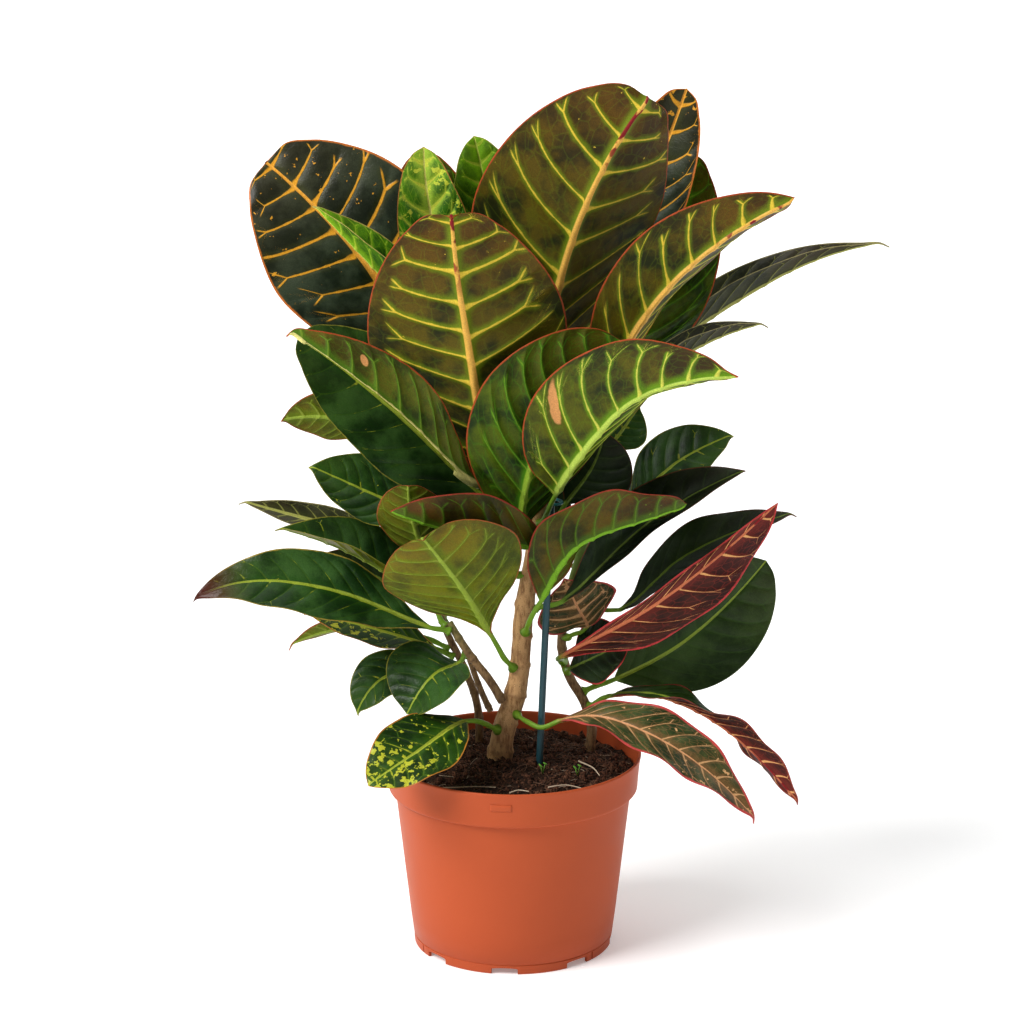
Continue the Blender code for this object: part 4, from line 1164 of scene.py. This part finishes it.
def bark_tree():
    """Geometry nodes that grow a barked stem along a line, with corky relief and raised leaf scars."""
    tree = bpy.data.node_groups.new("barked stem", "GeometryNodeTree")
    tree.interface.new_socket("Line", in_out="INPUT", socket_type="NodeSocketGeometry")
    socket(tree, "Sides", "NodeSocketInt", 32)
    socket(tree, "Bark Relief", "NodeSocketFloat", 0.3 * MM)
    socket(tree, "Bark Scale", "NodeSocketFloat", 300.0)
    socket(tree, "Scar Height", "NodeSocketFloat", 0.5 * MM)
    socket(tree, "Scar Spacing", "NodeSocketFloat", 12 * MM)
    socket(tree, "Finish", "NodeSocketMaterial")
    tree.interface.new_socket("Stem", in_out="OUTPUT", socket_type="NodeSocketGeometry")
    inputs = tree.nodes.new("NodeGroupInput").outputs
    thick = add_node(tree, "GeometryNodeInputNamedAttribute", {"Name": "thick"}, data_type="FLOAT").outputs[0]
    line = add_node(tree, "GeometryNodeMeshToCurve", {0: inputs["Line"]}).outputs[0]
    around = {"Resolution": inputs["Sides"], "Radius": 1.0}
    ring = add_node(tree, "GeometryNodeCurvePrimitiveCircle", around).outputs[0]
    stem = add_node(
        tree,
        "GeometryNodeCurveToMesh",
        {"Curve": line, "Profile Curve": ring, "Scale": thick, "Fill Caps": True},
    ).outputs[0]
    place = add_node(tree, "GeometryNodeInputPosition").outputs[0]
    long_place = vector_sums(tree, "MULTIPLY", place, (1.0, 1.0, 0.35))
    cork = sums(tree, "ADD", noise(tree, long_place, inputs["Bark Scale"], 4.0, 0.6), -0.5)
    cork = sums(tree, "MULTIPLY", cork, inputs["Bark Relief"])
    # Scars are rings on the stem, evenly spaced along it, that fade in and out round it
    run = add_node(tree, "GeometryNodeInputNamedAttribute", {"Name": "run"}, data_type="FLOAT").outputs[0]
    patch = noise(tree, place, 95.0, 1.0, 0.5)
    turn = sums(tree, "DIVIDE", sums(tree, "MULTIPLY_ADD", patch, 5 * MM, run), inputs["Scar Spacing"])
    turn = sums(tree, "POWER", sums(tree, "PINGPONG", turn, 1.0), 7.0)
    scar = sums(tree, "MULTIPLY", turn, fade(tree, patch, 0.42, 0.62))
    lift = sums(tree, "MULTIPLY_ADD", scar, inputs["Scar Height"], cork)
    move = vector_sums(tree, "SCALE", add_node(tree, "GeometryNodeInputNormal").outputs[0], lift)
    stem = add_node(
        tree,
        "GeometryNodeStoreNamedAttribute",
        {"Geometry": stem, "Name": "scar", "Value": scar},
        data_type="FLOAT",
        domain="POINT",
    ).outputs[0]
    stem = add_node(tree, "GeometryNodeSetPosition", {"Geometry": stem, "Offset": move}).outputs[0]
    stem = add_node(tree, "GeometryNodeRealizeInstances", {0: stem}).outputs[0]
    finished = {"Geometry": stem, "Material": inputs["Finish"]}
    done = add_node(tree, "GeometryNodeSetMaterial", finished).outputs[0]
    tree.links.new(done, tree.nodes.new("NodeGroupOutput").inputs[0])
    return tree


def grow_stem(name, tree, centres, radii, bark_shape, finish, nodes, fine=120):
    """Grows a stem along a smooth line through the centres.

    bark_shape holds its number of sides, the relief and scale of its bark, and its scars' height and spacing.
    """
    run = np.concatenate([[0], np.cumsum(np.linalg.norm(np.diff(centres, axis=0), axis=1))])
    table = np.concatenate([centres, radii[:, None]], axis=1)[:, None]
    found = smooth_lines(run, table, fine)[:, 0]
    mesh = bpy.data.meshes.new(name + " line")
    mesh.from_pydata([tuple(p[:3]) for p in found], [(i, i + 1) for i in range(fine - 1)], [])
    places = np.linspace(0, run[-1], fine)
    for mark, values in (("thick", found[:, 3]), ("run", places)):
        mesh.attributes.new(mark, "FLOAT", "POINT").data.foreach_set("value", values.astype(np.float32))
    line = bpy.data.objects.new(name + " line", mesh)
    bpy.context.scene.collection.objects.link(line)
    values = dict(zip(("Sides", "Bark Relief", "Bark Scale", "Scar Height", "Scar Spacing"), bark_shape))
    grow(name, line, tree, values, finish, nodes)
    bpy.data.objects.remove(line, do_unlink=True)


def build_stems(height):
    """The main stem, its shoots and branches, the stake with its tie, and the roots."""
    tree = bark_tree()
    tan = bark("corky bark", (0.24, 0.115, 0.042), (0.50, 0.290, 0.120), (0.10, 0.15, 0.025))
    brown = bark(
        "shoot bark", (0.10, 0.050, 0.020), (0.24, 0.140, 0.055), (0.12, 0.20, 0.03), 380.0, 0.17, 0.23
    )
    rod = smooth_plastic("stake plastic", (0.006, 0.045, 0.060), (0.012, 0.070, 0.085), 0.32)
    tie = smooth_plastic("tie plastic", (0.010, 0.150, 0.160), (0.020, 0.230, 0.240), 0.35)

    trunk = (48, 1.3 * MM, 260.0, 1.1 * MM, 9 * MM)
    shoot = (24, 0.5 * MM, 400.0, 0.7 * MM, 8 * MM)
    branch = (20, 0.4 * MM, 400.0, 0.5 * MM, 7 * MM)
    centres, radii = stem_line("main_stem", 12)
    knot = np.exp(-(((centres[:, 2] - 112 * MM) / (5 * MM)) ** 2)) * 0.9 * MM
    grow_stem("main_stem", tree, centres, radii + knot, trunk, tan, ["main_stem"], 220)
    for node, count, bark_shape, fine in (
        ("left_shoot", 12, shoot, 160),
        ("right_shoot", 12, shoot, 160),
        ("upper_branch", 10, branch, 70),
        ("lower_branch", 10, branch, 70),
    ):
        centres, radii = stem_line(node, count)
        grow_stem(node, tree, centres, radii, bark_shape, brown, [node], fine)
    centres, radii = stem_line("stake", 12)
    smooth = (20, 0.10 * MM, 120.0, 0.0, 20 * MM)
    grow_stem("stake", tree, centres, radii, smooth, rod, ["stake"], 60)
    for slot in frame["nodes"]["plant_tie"].material_slots:
        slot.material = tie
    build_roots(tree, height)


def build_roots(tree, height):
    """The long pale root that lies on the soil, and a few short ones."""
    runs = {
        "long_root": [(-56, -36), (-46, -41), (-34, -44), (-22, -46), (-10, -50)],
        "short_root": [(-2, -55), (3, -52), (9, -54)],
        "thin_root": [(20, -48), (30, -44), (42, -46)],
        "back_root": [(38, -10), (46, -16), (50, -26)],
    }
    thin = (8, 0.25 * MM, 500.0, 0.0, 9 * MM)
    for name, places in runs.items():
        path = []
        for x, y in places:
            gx, gy = POT_X + x * MM, POT_Y + y * MM
            path.append((gx, gy, height(gx, gy) + 2.4 * MM))
        radii = np.linspace(0.55, 0.3, len(path)) * MM
        grow_stem(name, tree, np.array(path), radii, thin, PALE_ROOT, None, 40)


def build_seedlings(height):
    """Two tiny seedlings in the soil before the stake: a thread of a stalk with a few round leaves."""
    sprout = root_skin("seedling green", (0.08, 0.30, 0.02), (0.20, 0.48, 0.05))
    for name, x, y in (("seedling_left", 17, -26), ("seedling_right", 37, -27)):
        ground = Vector((POT_X + x * MM, POT_Y + y * MM, 0))
        ground.z = height(ground.x, ground.y) + 0.5 * MM
        work = bmesh.new()
        for turn, lean, tall in ((0.3, 0.5, 6.0), (2.2, 0.7, 4.5), (4.1, 0.6, 5.2)):
            away = Vector((math.cos(turn), math.sin(turn), 0)) * lean * 3 * MM
            top = ground + away + Vector((0, 0, tall * MM))
            stalk = top - ground
            upright = stalk.to_track_quat("Z", "Y").to_matrix().to_4x4()
            bmesh.ops.create_cone(
                work,
                cap_ends=True,
                segments=6,
                radius1=0.28 * MM,
                radius2=0.2 * MM,
                depth=stalk.length,
                matrix=Matrix.Translation((ground + top) / 2) @ upright,
            )
            flat = Matrix.Rotation(lean, 4, "Y") @ Matrix.Diagonal((1.0, 0.75, 0.25, 1.0))
            flat = Matrix.Translation(top) @ flat
            bmesh.ops.create_icosphere(work, subdivisions=2, radius=1.5 * MM, matrix=flat)
        mesh = bpy.data.meshes.new(name)
        work.to_mesh(mesh)
        work.free()
        put(name, mesh, sprout, None)


# ---------------------------------------------------------------- room


def build_room():
    """A plain pale floor under soft studio light."""
    side = 40.0
    corners = [(-side, -side, 0), (side, -side, 0), (side, side, 0), (-side, side, 0)]
    mesh = bpy.data.meshes.new("floor")
    mesh.from_pydata(corners, [], [(0, 1, 2, 3)])
    floor = bpy.data.objects.new("floor", mesh)
    bpy.context.scene.collection.objects.link(floor)
    made, _, shader = new_material("pale floor")
    shader.inputs["Base Color"].default_value = (0.93, 0.93, 0.93, 1)
    shader.inputs["Roughness"].default_value = 0.9
    shader.inputs["Emission Color"].default_value = (1, 1, 1, 1)
    shader.inputs["Emission Strength"].default_value = 0.22
    mesh.materials.append(made)
    world = bpy.data.worlds.new("studio")
    world.use_nodes = True
    tree = world.node_tree
    seen = add_node(tree, "ShaderNodeLightPath").outputs["Is Camera Ray"]
    tree.links.new(fade(tree, seen, 0.0, 1.0, 0.26, 1.0), tree.nodes["Background"].inputs["Strength"])
    tree.nodes["Background"].inputs["Color"].default_value = (1, 1, 1, 1)
    bpy.context.scene.world = world
    for name, turn, height, soft, strength in (
        ("key light", -60, 44, 34, 3.35),
        ("top light", 170, 72, 60, 1.0),
        ("rim light", 120, 30, 30, 0.35),
    ):
        data = bpy.data.lights.new(name, "SUN")
        data.angle = math.radians(soft)
        data.energy = strength
        lamp = bpy.data.objects.new(name, data)
        turn, height = math.radians(turn), math.radians(height)
        level = math.cos(height)
        aim = Vector((-math.sin(turn) * level, math.cos(turn) * level, -math.sin(height)))
        lamp.rotation_euler = aim.to_track_quat("-Z", "Y").to_euler()
        bpy.context.scene.collection.objects.link(lamp)


def build_camera():
    data = bpy.data.cameras.new("camera")
    data.lens = 122.6
    data.sensor_width = 36
    camera = bpy.data.objects.new("camera", data)
    camera.location = (POT_X - 0.0007, POT_Y - 1.9287, 0.7904)
    camera.rotation_euler = (math.radians(74.65), 0, 0)
    bpy.context.scene.collection.objects.link(camera)
    bpy.context.scene.camera = camera


build_camera()
build_room()
build_pot()
soil_height = build_soil()
build_stems(soil_height)
build_seedlings(soil_height)
build_leaves()
bpy.context.scene.view_settings.view_transform = "Standard"
bpy.context.scene.view_settings.gamma = 0.93

bpy.context.view_layer.update()
